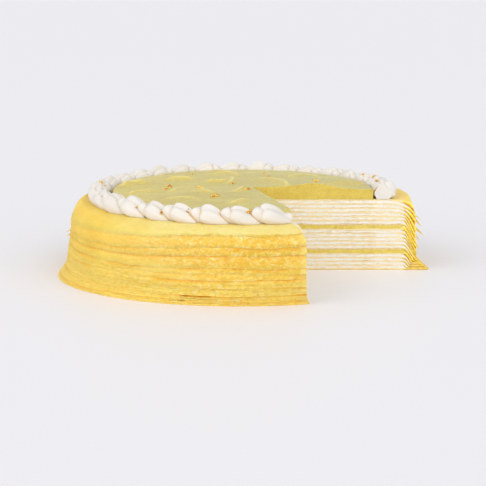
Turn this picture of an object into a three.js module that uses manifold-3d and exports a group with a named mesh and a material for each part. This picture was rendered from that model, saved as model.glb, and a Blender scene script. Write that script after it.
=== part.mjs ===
// A round cake of thin crepes with cream between them and one slice cut out.
// Millimetres, +Z up. The origin is on the cake's axis, at its underside, and
// +X lies along one of the two cuts. Angles run anticlockwise seen from above.

import * as THREE from 'three';
import { mergeVertices } from 'three/addons/utils/BufferGeometryUtils.js';
import Module from 'manifold-3d';

// The missing slice: both cuts start at its point and run straight to the rim.
const SLICE_POINT = new THREE.Vector2(5.2, -3);
const SLICE_ANGLE = THREE.MathUtils.degToRad(72.4);
const CAKE_ANGLE = 2 * Math.PI - SLICE_ANGLE;

// The stack, from the bottom up: three groups of crepes with a green filling between.
const CREPE_THICKNESS = 1.0;
const GROUPS = [
  { crepes: 5, cream: 1.6 },
  { crepes: 6, cream: 1.6 },
  { crepes: 7, cream: 1.74 },
];
const FILLING_THICKNESS = 2.3;
const LAYER_GAP = 0.05;
const SPREAD_RADIUS = 106;

// How a crepe bends down over the rim. The top one rounds off like a shoulder, and
// those well below it fall more steeply, until they lie on each other at the base.
const SHOULDER = { start: 95, run: 19.5, drop: 10.6 };
const STEEP = { start: 106, slope: 2.5, rounding: 4 };
const BLEND_DEPTH = 15;
const BEND_RADII = [95, 106, 110.5];
const TOP_BEND_RADII = [95, 104, 110.5, 112.6];
const END_SLOPE = { shoulder: 1.5, steep: 2.15 };
const OUTER_RADIUS = 130;
const SKIRT_STEP = 1.05;

// Measured upright, a crepe is thicker where it is steep.
const RIM = { start: 106, run: 6, thickness: 2.0 };

// Where the top crepe stands up off the rim, by how much, and between which angles.
const PUFFS = [
  { rise: 6, from: -6, full: 9, fade: 60, gone: 110, start: 97.5, peak: 111, end: 113.3 },
  { rise: 2.2, from: 100, full: 140, fade: 180, gone: 215, start: 99.5, peak: 106, end: 112.5 },
];
const PUFF_POWER = 1.8;

// The side: nearly upright, a little wider low down, and leaning in on the left.
const SIDE = { radius: 114.3, swell: 1.9, swellHeight: 24 };
const LEAN = { low: 1.9, high: -1.5, height: 38, angle: 185, width: 75 };

// A skirt of crepe edges spreads at the base, but is tucked in where the tucks are.
const SKIRT = { flare: 7.4, height: 6.5 };
const TUCKS = [
  { depth: 10.4, angle: 272, width: 80 },
  { depth: 7, angle: 150, width: 50 },
];
const RAGGED = 0.9;

// The green cream on top.
const GREEN_RADIUS = 86;
const GREEN_THICKNESS = 6.7;
const GREEN_DOME = 1.5;
const GREEN_RINGS = [15, 27, 37, 44, 52, 62, 74];

// The spatula's strokes: each is part of a circle whose edge is a raised lip, which
// rises over its width from inside the circle and falls away outside it.
const STROKES = [
  { x: -4, y: 66, radius: 83.6, from: -85, to: -12, lip: 3.0, width: 13, fall: 17 },
  { x: 4, y: 4, radius: 25, from: -25, to: 100, lip: 2.4, width: 22, fall: 6 },
  { x: -43, y: 20, radius: 15, from: 40, to: 140, lip: 2.3, width: 12, fall: 5 },
  { x: -17, y: 42, radius: 19, from: 235, to: 305, lip: 1.8, width: 12, fall: 5 },
  { x: -2, y: -3, radius: 27, from: 178, to: 238, lip: 1.6, width: 9, fall: 5 },
  { x: -20, y: -8, radius: 19, from: -55, to: 30, lip: 1.6, width: 8, fall: 5 },
  { x: -40, y: 30, radius: 33, from: -35, to: 30, lip: 1.5, width: 10, fall: 5 },
  { x: -62, y: 2, radius: 21, from: 90, to: 175, lip: 1.3, width: 9, fall: 5 },
];
const LIP_FADE = 0.35;

// The piped border: shells of whipped cream, each a bundle of overlapping petals.
// along is measured round the ring from the shell's head, out away from the axis,
// and up from the top crepe. A petal is an ellipsoid, tilted down along the ring.
const BORDER = { radius: 92.2, pitch: 11.55, firstHead: -3.4, coreUp: 3.2, coreSize: 3.9 };
const SHELLS = Math.ceil(THREE.MathUtils.radToDeg(CAKE_ANGLE) / BORDER.pitch);
const PETALS = [
  { along: 3.9, out: 2.6, up: 4.2, long: 6.0, wide: 3.3, high: 3.6, tilt: 52 },
  { along: 13.9, out: 3.8, up: 2.9, long: 9.4, wide: 4.4, high: 5.0, tilt: 20 },
  { along: 13.4, out: 0.2, up: 5.2, long: 9.6, wide: 3.4, high: 4.2, tilt: 14 },
  { along: 13.8, out: -2.9, up: 3.6, long: 9.8, wide: 3.0, high: 4.6, tilt: 17 },
  { along: 4.2, out: -2.0, up: 4.0, long: 5.6, wide: 3.0, high: 3.4, tilt: 48 },
];
const FULLER_SHELLS = new Map([[0, 1.2], [1, 1.08], [SHELLS - 1, 1.1]]);
const SHELL_UNEVEN = 0.07;
const BORDER_BULGE = { out: 2.2, angle: 185, width: 50 };
const BORDER_FOOT = 0.1;
const BORDER_INSIDE = 5.9;
const BORDER_STATIONS = 5;
const FAN_SIDES = 11;
const FAN_START = THREE.MathUtils.degToRad(-30);

// Torn gold leaf: [angle in degrees, distance from the axis, length, turn].
const LEAF_ON_GREEN = [
  [177, 48.7, 4.4, 20],
  [188.7, 51.5, 3.2, 70],
  [120.4, 70.5, 2.4, 10],
  [199.5, 30.6, 4.2, 140],
  [244.5, 41, 6.4, 25],
  [120, 14, 3.6, 95],
  [283, 13, 4.4, 60],
  [77.4, 66.4, 2.8, 40],
  [69, 48.2, 2.8, 120],
  [28, 55.4, 4.4, 165],
];
const LEAF_ON_BORDER = [
  [178, 94.2, 2.6, 0],
  [179, 91.5, 2.2, 40],
  [201.6, 97, 2.2, 80],
  [226.6, 96.5, 2.4, 10],
  [238.4, 96.5, 2.4, 60],
  [248.9, 94.5, 2.4, 30],
  [272.4, 94, 5.2, 30],
  [25.2, 90.3, 2.6, 50],
  [13.3, 90.3, 2.8, 120],
  [8.8, 90.5, 3.2, 15],
  [359.4, 87.2, 2.4, 60],
];
const LEAF_WIDTH = 0.6;
const LEAF_LIFT = 0.75;

// Facets.
const SECTORS = 27;
const GREEN_SECTORS = 34;
const MARCH_STEP = 0.1;
const KNOT_ROOM = 0.4;
const SEED = 11;
const ABOVE_ALL = 200;

const crepeMaterial = new THREE.MeshStandardMaterial({ color: 0xf1cb62, roughness: 0.75, metalness: 0 });
const creamMaterial = new THREE.MeshStandardMaterial({ color: 0xf3ebdc, roughness: 0.6, metalness: 0 });
const greenMaterial = new THREE.MeshStandardMaterial({ color: 0xd6ca8a, roughness: 0.5, metalness: 0 });
const whippedMaterial = new THREE.MeshStandardMaterial({ color: 0xf6f2ea, roughness: 0.5, metalness: 0 });

const wasm = await Module();
wasm.setup();

let seed = SEED;
function random() {
  seed = (seed * 1664525 + 1013904223) % 4294967296;
  return seed / 4294967296;
}

function smoothstep(x) {
  const t = THREE.MathUtils.clamp(x, 0, 1);
  return t * t * (3 - 2 * t);
}

// A smooth seeded wave round the cake, between about -1 and 1.
function makeWave(lobes) {
  const phases = lobes.map(() => random() * 2 * Math.PI);
  const waves = (angle) => lobes.reduce((sum, lobe, k) => sum + Math.cos(lobe * angle + phases[k]), 0);
  return (angle) => waves(angle) / lobes.length;
}

// The cake isn't quite round, and everything in it shares that outline.
const planWave = makeWave([2, 3, 5]);
const PLAN_UNEVEN = 0.006;

// The point at a cake radius, on a ray from the slice's point.
function place(angle, radius, height) {
  const direction = new THREE.Vector2(Math.cos(angle), Math.sin(angle));
  const outline = radius * (1 + PLAN_UNEVEN * planWave(angle));
  const along = SLICE_POINT.dot(direction);
  const reach = -along + Math.sqrt(outline * outline - SLICE_POINT.lengthSq() + along * along);
  return new THREE.Vector3(SLICE_POINT.x + reach * direction.x, SLICE_POINT.y + reach * direction.y, height);
}

// Levels of every layer's flat part, from the bottom up.
function stackLayers() {
  const layers = { crepes: [], creams: [], fillings: [] };
  let height = 0;
  const lay = (kind, thickness) => {
    layers[kind].push({ bottom: height, top: height + thickness, above: layers.crepes.length });
    height += thickness + LAYER_GAP;
  };
  GROUPS.forEach((group, g) => {
    for (let n = 0; n < group.crepes; n += 1) {
      lay('crepes', CREPE_THICKNESS - LAYER_GAP);
      if (n < group.crepes - 1) lay('creams', group.cream - LAYER_GAP);
    }
    if (g < GROUPS.length - 1) lay('fillings', FILLING_THICKNESS - LAYER_GAP);
  });
  layers.height = height;
  return layers;
}

const layers = stackLayers();
const crepeTop = layers.height;

// How far a crepe has fallen at a radius, given how much of the steep fall it follows.
function fallAt(radius, steepness) {
  const onShoulder = Math.min(Math.max(radius - SHOULDER.start, 0) / SHOULDER.run, 1);
  const shoulder = SHOULDER.drop * (1 - Math.sqrt(1 - onShoulder * onShoulder));
  const past = Math.max(radius - STEEP.start, 0);
  const steep = STEEP.slope * (Math.hypot(past, STEEP.rounding) - STEEP.rounding);
  return THREE.MathUtils.lerp(shoulder, steep, steepness);
}

// A crepe's section as knots, [radius, underside, thickness]: flat, bending over the
// rim, then falling straight until it lies on the crepes that rest on the base.
function crepeKnots(index) {
  const { bottom, top } = layers.crepes[index];
  const depth = layers.crepes.at(-1).bottom - bottom;
  const rest = index * SKIRT_STEP;
  const steepness = smoothstep(depth / BLEND_DEPTH);
  const radii = depth > 0 ? BEND_RADII : TOP_BEND_RADII;
  const endSlope = THREE.MathUtils.lerp(END_SLOPE.shoulder, END_SLOPE.steep, steepness);
  const falls = radii.map((radius) => fallAt(radius, steepness));
  const reach = OUTER_RADIUS - radii.at(-1);
  const line = radii.map((radius, k) => [radius, bottom - falls[k]]);
  line.push([OUTER_RADIUS, line.at(-1)[1] - endSlope * reach]);
  const thickness = (radius) => {
    const steepPart = smoothstep((radius - RIM.start) / RIM.run);
    return THREE.MathUtils.lerp(top - bottom, RIM.thickness, steepPart);
  };
  const knots = [];
  for (let k = 0; k < line.length; k += 1) {
    const [radius, height] = line[k];
    if (height <= rest) {
      const [lastRadius, lastHeight] = k > 0 ? line[k - 1] : [radius, bottom];
      const t = k > 0 ? (lastHeight - rest) / (lastHeight - height) : 0;
      const landing = THREE.MathUtils.lerp(lastRadius, radius, t);
      knots.push([landing, rest, top - bottom], [OUTER_RADIUS, rest, top - bottom]);
      return knots;
    }
    knots.push([radius, height, thickness(radius)]);
  }
  return knots;
}

// The section at a radius: [underside, thickness], straight between its knots.
function sectionAt(knots, radius) {
  const k = knots.findIndex((knot) => knot[0] > radius);
  if (k <= 0) return knots.at(k).slice(1);
  const t = (radius - knots[k - 1][0]) / (knots[k][0] - knots[k - 1][0]);
  return [1, 2].map((part) => THREE.MathUtils.lerp(knots[k - 1][part], knots[k][part], t));
}

// How near an angle is to the middle of a place round the cake: 1 there, 0 past its width.
function nearness(angle, place) {
  const off = (THREE.MathUtils.radToDeg(angle) - place.angle) / place.width;
  return Math.abs(off) < 1 ? Math.cos((off * Math.PI) / 2) ** 2 : 0;
}

// The cake's outline at a height.
function sideRadius(angle, height) {
  const swell = SIDE.swell * Math.max(1 - height / SIDE.swellHeight, 0);
  const lean = nearness(angle, LEAN);
  const leaning = lean * THREE.MathUtils.lerp(LEAN.low, LEAN.high, Math.min(height / LEAN.height, 1));
  const tucked = TUCKS.reduce((sum, tuck) => sum + tuck.depth * nearness(angle, tuck), 0);
  const spread = Math.max(1 - height / SKIRT.height, 0);
  return SIDE.radius + swell + leaning + (SKIRT.flare - LEAN.low * lean - tucked) * spread;
}

// How far the top crepe's upper side stands up at a place on its rim.
function puffAt(angle, radius) {
  const degrees = THREE.MathUtils.radToDeg(angle);
  return PUFFS.reduce((sum, puff) => {
    const round = smoothstep((degrees - puff.from) / (puff.full - puff.from))
      * (1 - smoothstep((degrees - puff.fade) / (puff.gone - puff.fade)));
    const up = THREE.MathUtils.clamp((radius - puff.start) / (puff.peak - puff.start), 0, 1) ** PUFF_POWER;
    const past = THREE.MathUtils.clamp((radius - puff.peak) / (puff.end - puff.peak), 0, 1);
    return sum + puff.rise * round * up * Math.sqrt(1 - past * past);
  }, 0);
}

// The radius where a crepe ends, found by walking out along it to the cake's outline.
function endRadius(knots, angle, ragged) {
  for (let radius = BEND_RADII[1]; radius < OUTER_RADIUS; radius += MARCH_STEP) {
    if (radius >= sideRadius(angle, sectionAt(knots, radius)[0]) + ragged) return radius;
  }
  return OUTER_RADIUS;
}

// The angles of the rays that part the cake into sectors.
function raysOf(sectors) {
  return Array.from({ length: sectors + 1 }, (_, m) => (CAKE_ANGLE * m) / sectors);
}

// A closed solid between two rows of points on every ray, which start at the slice's
// point and end in a shared rim. Rows hold [radius, height] and never cross.
function sectorSolid(sectors, pointTop, pointBottom, topRow, bottomRow) {
  const positions = [];
  const faces = [];
  const add = (point) => positions.push(point.x, point.y, point.z) / 3 - 1;
  const tipTop = add(new THREE.Vector3(SLICE_POINT.x, SLICE_POINT.y, pointTop));
  const tipBottom = add(new THREE.Vector3(SLICE_POINT.x, SLICE_POINT.y, pointBottom));
  const tops = [];
  const bottoms = [];
  raysOf(sectors).forEach((angle, m) => {
    tops.push(topRow(angle, m).map(([radius, height]) => add(place(angle, radius, height))));
    bottoms.push(bottomRow(angle, m).map(([radius, height]) => add(place(angle, radius, height))));
  });
  const cover = (tip, rows, upward) => {
    const face = (a, b, c) => faces.push(...(upward ? [a, b, c] : [a, c, b]));
    for (let m = 0; m < sectors; m += 1) {
      face(tip, rows[m][0], rows[m + 1][0]);
      for (let k = 0; k < rows[m].length - 1; k += 1) {
        face(rows[m][k], rows[m][k + 1], rows[m + 1][k + 1]);
        face(rows[m][k], rows[m + 1][k + 1], rows[m + 1][k]);
      }
    }
  };
  cover(tipTop, tops, true);
  cover(tipBottom, bottoms, false);
  for (let m = 0; m < sectors; m += 1) {
    const [a, b] = [tops[m].at(-1), tops[m + 1].at(-1)];
    const [c, d] = [bottoms[m].at(-1), bottoms[m + 1].at(-1)];
    faces.push(a, c, d, a, d, b);
  }
  const closeCut = (top, bottom, facesBack) => {
    const chainTop = [tipTop, ...top];
    const chainBottom = [tipBottom, ...bottom];
    const face = (a, b, c) => faces.push(...(facesBack ? [a, c, b] : [a, b, c]));
    let i = 0;
    let j = 0;
    while (i < chainTop.length - 1 || j < chainBottom.length - 1) {
      const ahead = (i + 1) / (chainTop.length - 1) <= (j + 1) / (chainBottom.length - 1);
      if (i < chainTop.length - 1 && (ahead || j === chainBottom.length - 1)) {
        face(chainTop[i], chainBottom[j], chainTop[i + 1]);
        i += 1;
      } else {
        face(chainTop[i], chainBottom[j], chainBottom[j + 1]);
        j += 1;
      }
    }
  };
  closeCut(tops[0], bottoms[0], false);
  closeCut(tops[sectors], bottoms[sectors], true);
  return toGeometry(positions, faces);
}

function toGeometry(positions, faces) {
  const geometry = new THREE.BufferGeometry();
  geometry.setAttribute('position', new THREE.Float32BufferAttribute(positions, 3));
  geometry.setIndex(faces);
  return geometry;
}

function crepeGeometry(index) {
  const { bottom, top } = layers.crepes[index];
  const knots = crepeKnots(index);
  const wave = makeWave([3, 5, 8]);
  const flatUntil = knots.findLastIndex((knot) => knot[1] === bottom);
  const ends = raysOf(SECTORS).map((angle) => endRadius(knots, angle, RAGGED * wave(angle)));
  const bends = knots.slice(Math.max(flatUntil, 0), -1).map((knot) => knot[0])
    .filter((radius) => radius < Math.max(...ends));
  const row = (_, m) => {
    const end = ends[m];
    const radii = bends.map((radius, k) => Math.min(radius, end - KNOT_ROOM * (bends.length - k)));
    return [...radii, end].map((radius) => [radius, ...sectionAt(knots, radius)]);
  };
  const isTop = index === layers.crepes.length - 1;
  const topRow = (angle, m) => row(angle, m).map(([radius, under, thickness]) => {
    return [radius, under + thickness + (isTop ? puffAt(angle, radius) : 0)];
  });
  const bottomRow = (angle, m) => row(angle, m).map(([radius, under]) => [radius, under]);
  return sectorSolid(SECTORS, top, bottom, topRow, bottomRow);
}

// What lies between two crepes, out to where they come together over the rim.
function spreadGeometry({ bottom, top, above }) {
  const [lower, upper] = [crepeKnots(above - 1), crepeKnots(above)];
  const bends = BEND_RADII.filter((radius) => radius <= SPREAD_RADIUS);
  const sections = bends.map((radius) => {
    const [under, thickness] = sectionAt(lower, radius);
    return [radius, sectionAt(upper, radius)[0] - LAYER_GAP, under + thickness + LAYER_GAP];
  });
  const flatUntil = sections.findLastIndex((section) => Math.abs(section[1] - top) < LAYER_GAP / 2);
  const kept = sections.slice(flatUntil);
  const topRow = () => kept.map(([radius, upperSide]) => [radius, upperSide]);
  const bottomRow = () => kept.map(([radius, , lowerSide]) => [radius, lowerSide]);
  return sectorSolid(SECTORS, top, bottom, topRow, bottomRow);
}

// Height of one stroke at a point: rising to its lip, then falling away.
function strokeHeight(stroke, x, y) {
  const dx = x - stroke.x;
  const dy = y - stroke.y;
  const off = Math.hypot(dx, dy) - stroke.radius;
  const degrees = THREE.MathUtils.radToDeg(Math.atan2(dy, dx));
  const angle = THREE.MathUtils.euclideanModulo(degrees - stroke.from, 360);
  const span = stroke.to - stroke.from;
  if (angle > span) return 0;
  const fade = smoothstep(Math.min(angle, span - angle) / (span * LIP_FADE));
  const across = off < 0 ? Math.max(1 + off / stroke.width, 0) ** 2 : 1 - smoothstep(off / stroke.fall);
  return stroke.lip * fade * across;
}

function greenTopHeight(x, y) {
  const dome = GREEN_DOME * (1 - (x * x + y * y) / (GREEN_RADIUS * GREEN_RADIUS));
  const relief = STROKES.reduce((most, stroke) => Math.max(most, strokeHeight(stroke, x, y)), 0);
  return crepeTop + GREEN_THICKNESS + dome + relief;
}

function greenTopGeometry() {
  const foot = crepeTop + LAYER_GAP;
  const topRow = (angle) => [...GREEN_RINGS, GREEN_RADIUS].map((radius) => {
    const point = place(angle, radius, 0);
    return [radius, greenTopHeight(point.x, point.y)];
  });
  const tip = greenTopHeight(SLICE_POINT.x, SLICE_POINT.y);
  return sectorSolid(GREEN_SECTORS, tip, foot, topRow, () => [[GREEN_RADIUS, foot]]);
}

// Each shell's own size, uneven as piping is, with those near the cuts fuller.
const shellSizes = Array.from({ length: SHELLS }, (_, n) => {
  const uneven = 1 + SHELL_UNEVEN * (2 * random() - 1);
  return uneven * (FULLER_SHELLS.get(n) ?? 1);
});

// How far a ray from the rope's core reaches to the far side of a petal's slice.
function petalReach(petal, size, along, ray) {
  const tilt = THREE.MathUtils.degToRad(petal.tilt);
  const fromCentre = along - petal.along;
  const origin = { out: -petal.out * size, up: BORDER.coreUp - petal.up * size };
  const toFrame = (s, o, u) => [
    (s * Math.cos(tilt) - u * Math.sin(tilt)) / (petal.long * size),
    o / (petal.wide * size),
    (s * Math.sin(tilt) + u * Math.cos(tilt)) / (petal.high * size),
  ];
  const p = toFrame(fromCentre, origin.out, origin.up);
  const d = toFrame(0, ray.out, ray.up);
  const dot = (a, b) => a[0] * b[0] + a[1] * b[1] + a[2] * b[2];
  const root = dot(p, d) ** 2 - dot(d, d) * (dot(p, p) - 1);
  return root <= 0 ? 0 : (-dot(p, d) + Math.sqrt(root)) / dot(d, d);
}

function ropeReach(azimuth, ray) {
  let reach = BORDER.coreSize;
  shellSizes.forEach((size, n) => {
    const head = BORDER.firstHead + BORDER.pitch * n;
    const along = THREE.MathUtils.degToRad(azimuth - head) * BORDER.radius;
    PETALS.forEach((petal) => {
      reach = Math.max(reach, petalReach(petal, size, along, ray));
    });
  });
  const toFoot = ray.up < 0 ? (BORDER.coreUp - BORDER_FOOT) / -ray.up : Infinity;
  const toGreen = ray.out < 0 ? BORDER_INSIDE / -ray.out : Infinity;
  return Math.min(reach, toFoot, toGreen);
}

// The border is one rope: a fan of points over a flat foot, swept round the cake.
function borderGeometry() {
  const stations = Math.round((THREE.MathUtils.radToDeg(CAKE_ANGLE) / BORDER.pitch) * BORDER_STATIONS);
  const positions = [];
  const faces = [];
  for (let m = 0; m <= stations; m += 1) {
    const angle = (CAKE_ANGLE * m) / stations;
    const core = place(angle, BORDER.radius, 0);
    const turns = m > stations / 4 && Math.atan2(core.y, core.x) < 0 ? 360 : 0;
    const azimuth = THREE.MathUtils.radToDeg(Math.atan2(core.y, core.x)) + turns;
    const bulge = BORDER_BULGE.out * nearness(angle, BORDER_BULGE);
    for (let k = 0; k < FAN_SIDES; k += 1) {
      const lift = FAN_START + ((Math.PI - 2 * FAN_START) * k) / (FAN_SIDES - 1);
      const ray = { out: Math.cos(lift), up: Math.sin(lift) };
      const reach = ropeReach(azimuth, ray);
      const height = crepeTop + BORDER.coreUp + ray.up * reach;
      const point = place(angle, BORDER.radius + bulge + ray.out * reach, height);
      positions.push(point.x, point.y, point.z);
    }
  }
  for (let m = 0; m < stations; m += 1) {
    for (let k = 0; k < FAN_SIDES; k += 1) {
      const a = m * FAN_SIDES + k;
      const b = m * FAN_SIDES + ((k + 1) % FAN_SIDES);
      faces.push(a, a + FAN_SIDES, b + FAN_SIDES, a, b + FAN_SIDES, b);
    }
  }
  const end = stations * FAN_SIDES;
  for (let k = 1; k < FAN_SIDES - 1; k += 1) {
    faces.push(0, k, k + 1);
    faces.push(end, end + k + 1, end + k);
  }
  return toGeometry(positions, faces);
}

function toManifold(geometry) {
  const plain = geometry.clone();
  plain.deleteAttribute('normal');
  plain.deleteAttribute('uv');
  const merged = mergeVertices(plain);
  const mesh = new wasm.Mesh({
    numProp: 3,
    vertProperties: merged.attributes.position.array,
    triVerts: new Uint32Array(merged.index.array),
  });
  return new wasm.Manifold(mesh);
}

function fromManifold(solid) {
  const mesh = solid.getMesh();
  return toGeometry(Array.from(mesh.vertProperties), Array.from(mesh.triVerts));
}

// The highest point of a geometry's facets above a place.
function surfaceHeight(geometry, x, y) {
  const probe = new THREE.Mesh(geometry, new THREE.MeshBasicMaterial({ side: THREE.DoubleSide }));
  const caster = new THREE.Raycaster(new THREE.Vector3(x, y, ABOVE_ALL), new THREE.Vector3(0, 0, -1));
  return caster.intersectObject(probe)[0].point.z;
}

// Scraps of gold leaf, half sunk in the cream they lie on and joined to it.
function withLeaf(geometry, scraps) {
  let solid = toManifold(geometry);
  scraps.forEach(([degrees, distance, length, turn]) => {
    const angle = THREE.MathUtils.degToRad(degrees);
    const [x, y] = [distance * Math.cos(angle), distance * Math.sin(angle)];
    const scrap = new THREE.OctahedronGeometry(length / 2, 0);
    scrap.scale(1, LEAF_WIDTH, LEAF_LIFT);
    scrap.rotateZ(THREE.MathUtils.degToRad(turn));
    scrap.translate(x, y, surfaceHeight(geometry, x, y));
    solid = solid.add(toManifold(scrap));
  });
  return fromManifold(solid);
}

const cake = new THREE.Group();

function addPiece(name, geometry, material) {
  const mesh = new THREE.Mesh(geometry, material);
  mesh.name = name;
  cake.add(mesh);
}

const numbered = (name, index) => `${name}_${String(index + 1).padStart(2, '0')}`;

layers.crepes.forEach((_, index) => addPiece(numbered('crepe', index), crepeGeometry(index), crepeMaterial));
layers.creams.forEach((layer, index) => {
  addPiece(numbered('cream', index), spreadGeometry(layer), creamMaterial);
});
layers.fillings.forEach((layer, index) => {
  addPiece(numbered('green_filling', index), spreadGeometry(layer), greenMaterial);
});
addPiece('green_top', withLeaf(greenTopGeometry(), LEAF_ON_GREEN), greenMaterial);
addPiece('whipped_border', withLeaf(borderGeometry(), LEAF_ON_BORDER), whippedMaterial);

export default cake;
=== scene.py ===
"""A crepe cake with a green cream top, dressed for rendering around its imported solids.

Lengths are millimetres until a mesh is made. +Z is up, the origin is on the cake's axis at
its underside, and angles run anticlockwise seen from above, from the cut along +X.
"""

import math

import bmesh
import bpy
import numpy as np
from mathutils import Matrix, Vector
from mathutils.bvhtree import BVHTree


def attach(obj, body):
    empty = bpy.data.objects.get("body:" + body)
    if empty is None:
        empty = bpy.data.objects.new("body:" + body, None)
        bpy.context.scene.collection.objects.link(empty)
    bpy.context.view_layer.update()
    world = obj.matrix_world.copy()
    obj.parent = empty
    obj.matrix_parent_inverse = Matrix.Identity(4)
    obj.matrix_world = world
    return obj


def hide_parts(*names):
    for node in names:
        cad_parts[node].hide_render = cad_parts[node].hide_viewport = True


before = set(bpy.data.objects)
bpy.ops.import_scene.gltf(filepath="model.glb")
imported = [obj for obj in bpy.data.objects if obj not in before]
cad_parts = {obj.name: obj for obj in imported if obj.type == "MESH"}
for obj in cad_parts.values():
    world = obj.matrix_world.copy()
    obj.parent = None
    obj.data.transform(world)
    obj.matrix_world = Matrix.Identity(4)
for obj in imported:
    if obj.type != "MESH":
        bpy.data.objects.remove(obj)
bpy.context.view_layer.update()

MM = 0.001

# ------------------------------------------------------------------ the cake's dimensions
SLICE_POINT = np.array([5.2, -3.0])
CAKE_ANGLE = math.radians(360 - 72.4)
CREPE_THICKNESS = 1.0
GROUPS = [(5, 1.6), (6, 1.6), (7, 1.74)]
FILLING_THICKNESS = 2.3
LAYER_GAP = 0.05
SHOULDER_START, SHOULDER_RUN, SHOULDER_DROP = 95, 19.5, 10.6
SHOULDER_SKIN, SHOULDER_LIMIT = 0.6, 0.985
STEEP_START, STEEP_SLOPE, STEEP_ROUNDING = 106, 2.5, 4
HANG_RUN, HANG_DROP, HANG_LIMIT, HANG_END_SLOPE = 9.5, 30, 0.97, 4
BLEND_DEPTH = 15
PUFFS = [
    # rise, then the angles where it starts, is full, fades and is gone, then radii: start, peak, end
    (6, -6, 9, 60, 110, 97.5, 111, 113.3),
    (2.2, 100, 140, 180, 215, 99.5, 106, 112.5),
]
PUFF_POWER = 1.8
SIDE_RADIUS, SWELL, SWELL_HEIGHT = 114.3, 1.9, 24
LEAN_LOW, LEAN_HIGH, LEAN_HEIGHT, LEAN_PLACE = 1.9, -1.5, 38, (185, 75)
FLARE, SKIRT_HEIGHT = 7.4, 6.5
TUCKS = [(10.4, (272, 80)), (7, (150, 50))]
PLAN_UNEVEN = 0.006
SEED = 11

GREEN_RADIUS, GREEN_THICKNESS, GREEN_DOME = 86, 6.7, 1.5
STROKES = [
    # x, y, radius, from, to, lip, width, fall
    (-4, 66, 83.6, -85, -12, 3.0, 13, 17),
    (4, 4, 25, -25, 100, 2.4, 22, 6),
    (-43, 20, 15, 40, 140, 2.3, 12, 5),
    (-17, 42, 19, 235, 305, 1.8, 12, 5),
    (-2, -3, 27, 178, 238, 1.6, 9, 5),
    (-20, -8, 19, -55, 30, 1.6, 8, 5),
    (-40, 30, 33, -35, 30, 1.5, 10, 5),
    (-62, 2, 21, 90, 175, 1.3, 9, 5),
]
LIP_FADE = 0.35

BORDER_RADIUS, SHELL_PITCH, FIRST_HEAD = 92.2, 11.55, -3.4
SHELLS = math.ceil(math.degrees(CAKE_ANGLE) / SHELL_PITCH)
FULLER_SHELLS = {0: 1.2, 1: 1.08, SHELLS - 1: 1.1}
SHELL_UNEVEN = 0.07
BULGE_OUT, BULGE_PLACE = 2.2, (185, 50)


# ------------------------------------------------------------------ numbers
WORD = 2**32
DRAW_FACTOR, DRAW_STEP = 1664525, 1013904223
HASH_X, HASH_Y, HASH_SEED, HASH_MIX = 374761393, 668265263, 974634777, 1274126177


class Draws:
    """The same even draws, between 0 and 1, as the solids are made with."""

    def __init__(self, seed):
        self.seed = seed

    def __call__(self):
        self.seed = (self.seed * DRAW_FACTOR + DRAW_STEP) % WORD
        return self.seed / WORD


draw = Draws(SEED)


def make_wave(lobes):
    phases = [draw() * 2 * math.pi for _ in lobes]
    return lambda angle: sum(np.cos(n * angle + p) for n, p in zip(lobes, phases)) / len(lobes)


plan_wave = make_wave([2, 3, 5])
shell_sizes = [(1 + SHELL_UNEVEN * (2 * draw() - 1)) * FULLER_SHELLS.get(n, 1) for n in range(SHELLS)]


def smoothstep(x):
    t = np.clip(x, 0, 1)
    return t * t * (3 - 2 * t)


def around(sides):
    """The turns of the points on a ring."""
    return np.linspace(0, 2 * math.pi, sides, endpoint=False)


def points_at(x, y, z):
    return np.stack(np.broadcast_arrays(x, y, z), -1)


def rising(value, start, over):
    """A share that is 0 up to a start and 1 from a distance past it."""
    return smoothstep((value - start) / over)


def lattice(i, j, seed):
    """A fixed pseudo-random number between -1 and 1 for every cell of a grid."""
    h = (i.astype(np.int64) * HASH_X + j.astype(np.int64) * HASH_Y + seed * HASH_SEED) & (WORD - 1)
    h = ((h ^ (h >> 13)) * HASH_MIX) & (WORD - 1)
    return (h ^ (h >> 16)) / 2**31 - 1


def noise(x, y, seed):
    """Smooth noise in the plane, one cell to a unit, between about -1 and 1."""
    x, y = np.broadcast_arrays(np.asarray(x, float), np.asarray(y, float))
    i, j = np.floor(x), np.floor(y)
    u, v = smoothstep(x - i), smoothstep(y - j)
    near = lattice(i, j, seed) * (1 - u) + lattice(i + 1, j, seed) * u
    far = lattice(i, j + 1, seed) * (1 - u) + lattice(i + 1, j + 1, seed) * u
    return near * (1 - v) + far * v


def relief(waves, x, y, shift=0):
    """Unevenness over a surface: each wave's size, its lengths along x and y, and its seed."""
    return sum(size * noise(x / long, y / wide + shift, seed) for size, long, wide, seed in waves)


# ------------------------------------------------------------------ places on the cake
def nearness(degrees, place):
    """How near an angle is to a place round the cake: 1 at its middle, 0 past its width."""
    middle, width = place
    off = np.clip((degrees - middle) / width, -1, 1)
    return np.cos(off * math.pi / 2) ** 2


def reach_of(angle, radius):
    """How far along a ray from the slice's point a cake radius lies."""
    outline = radius * (1 + PLAN_UNEVEN * plan_wave(angle))
    along = SLICE_POINT[0] * np.cos(angle) + SLICE_POINT[1] * np.sin(angle)
    return -along + np.sqrt(outline**2 - SLICE_POINT @ SLICE_POINT + along**2)


def on_ray(angle, reach, height):
    return points_at(SLICE_POINT[0] + reach * np.cos(angle), SLICE_POINT[1] + reach * np.sin(angle), height)


def place(angle, radius, height):
    return on_ray(angle, reach_of(angle, radius), height)


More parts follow.
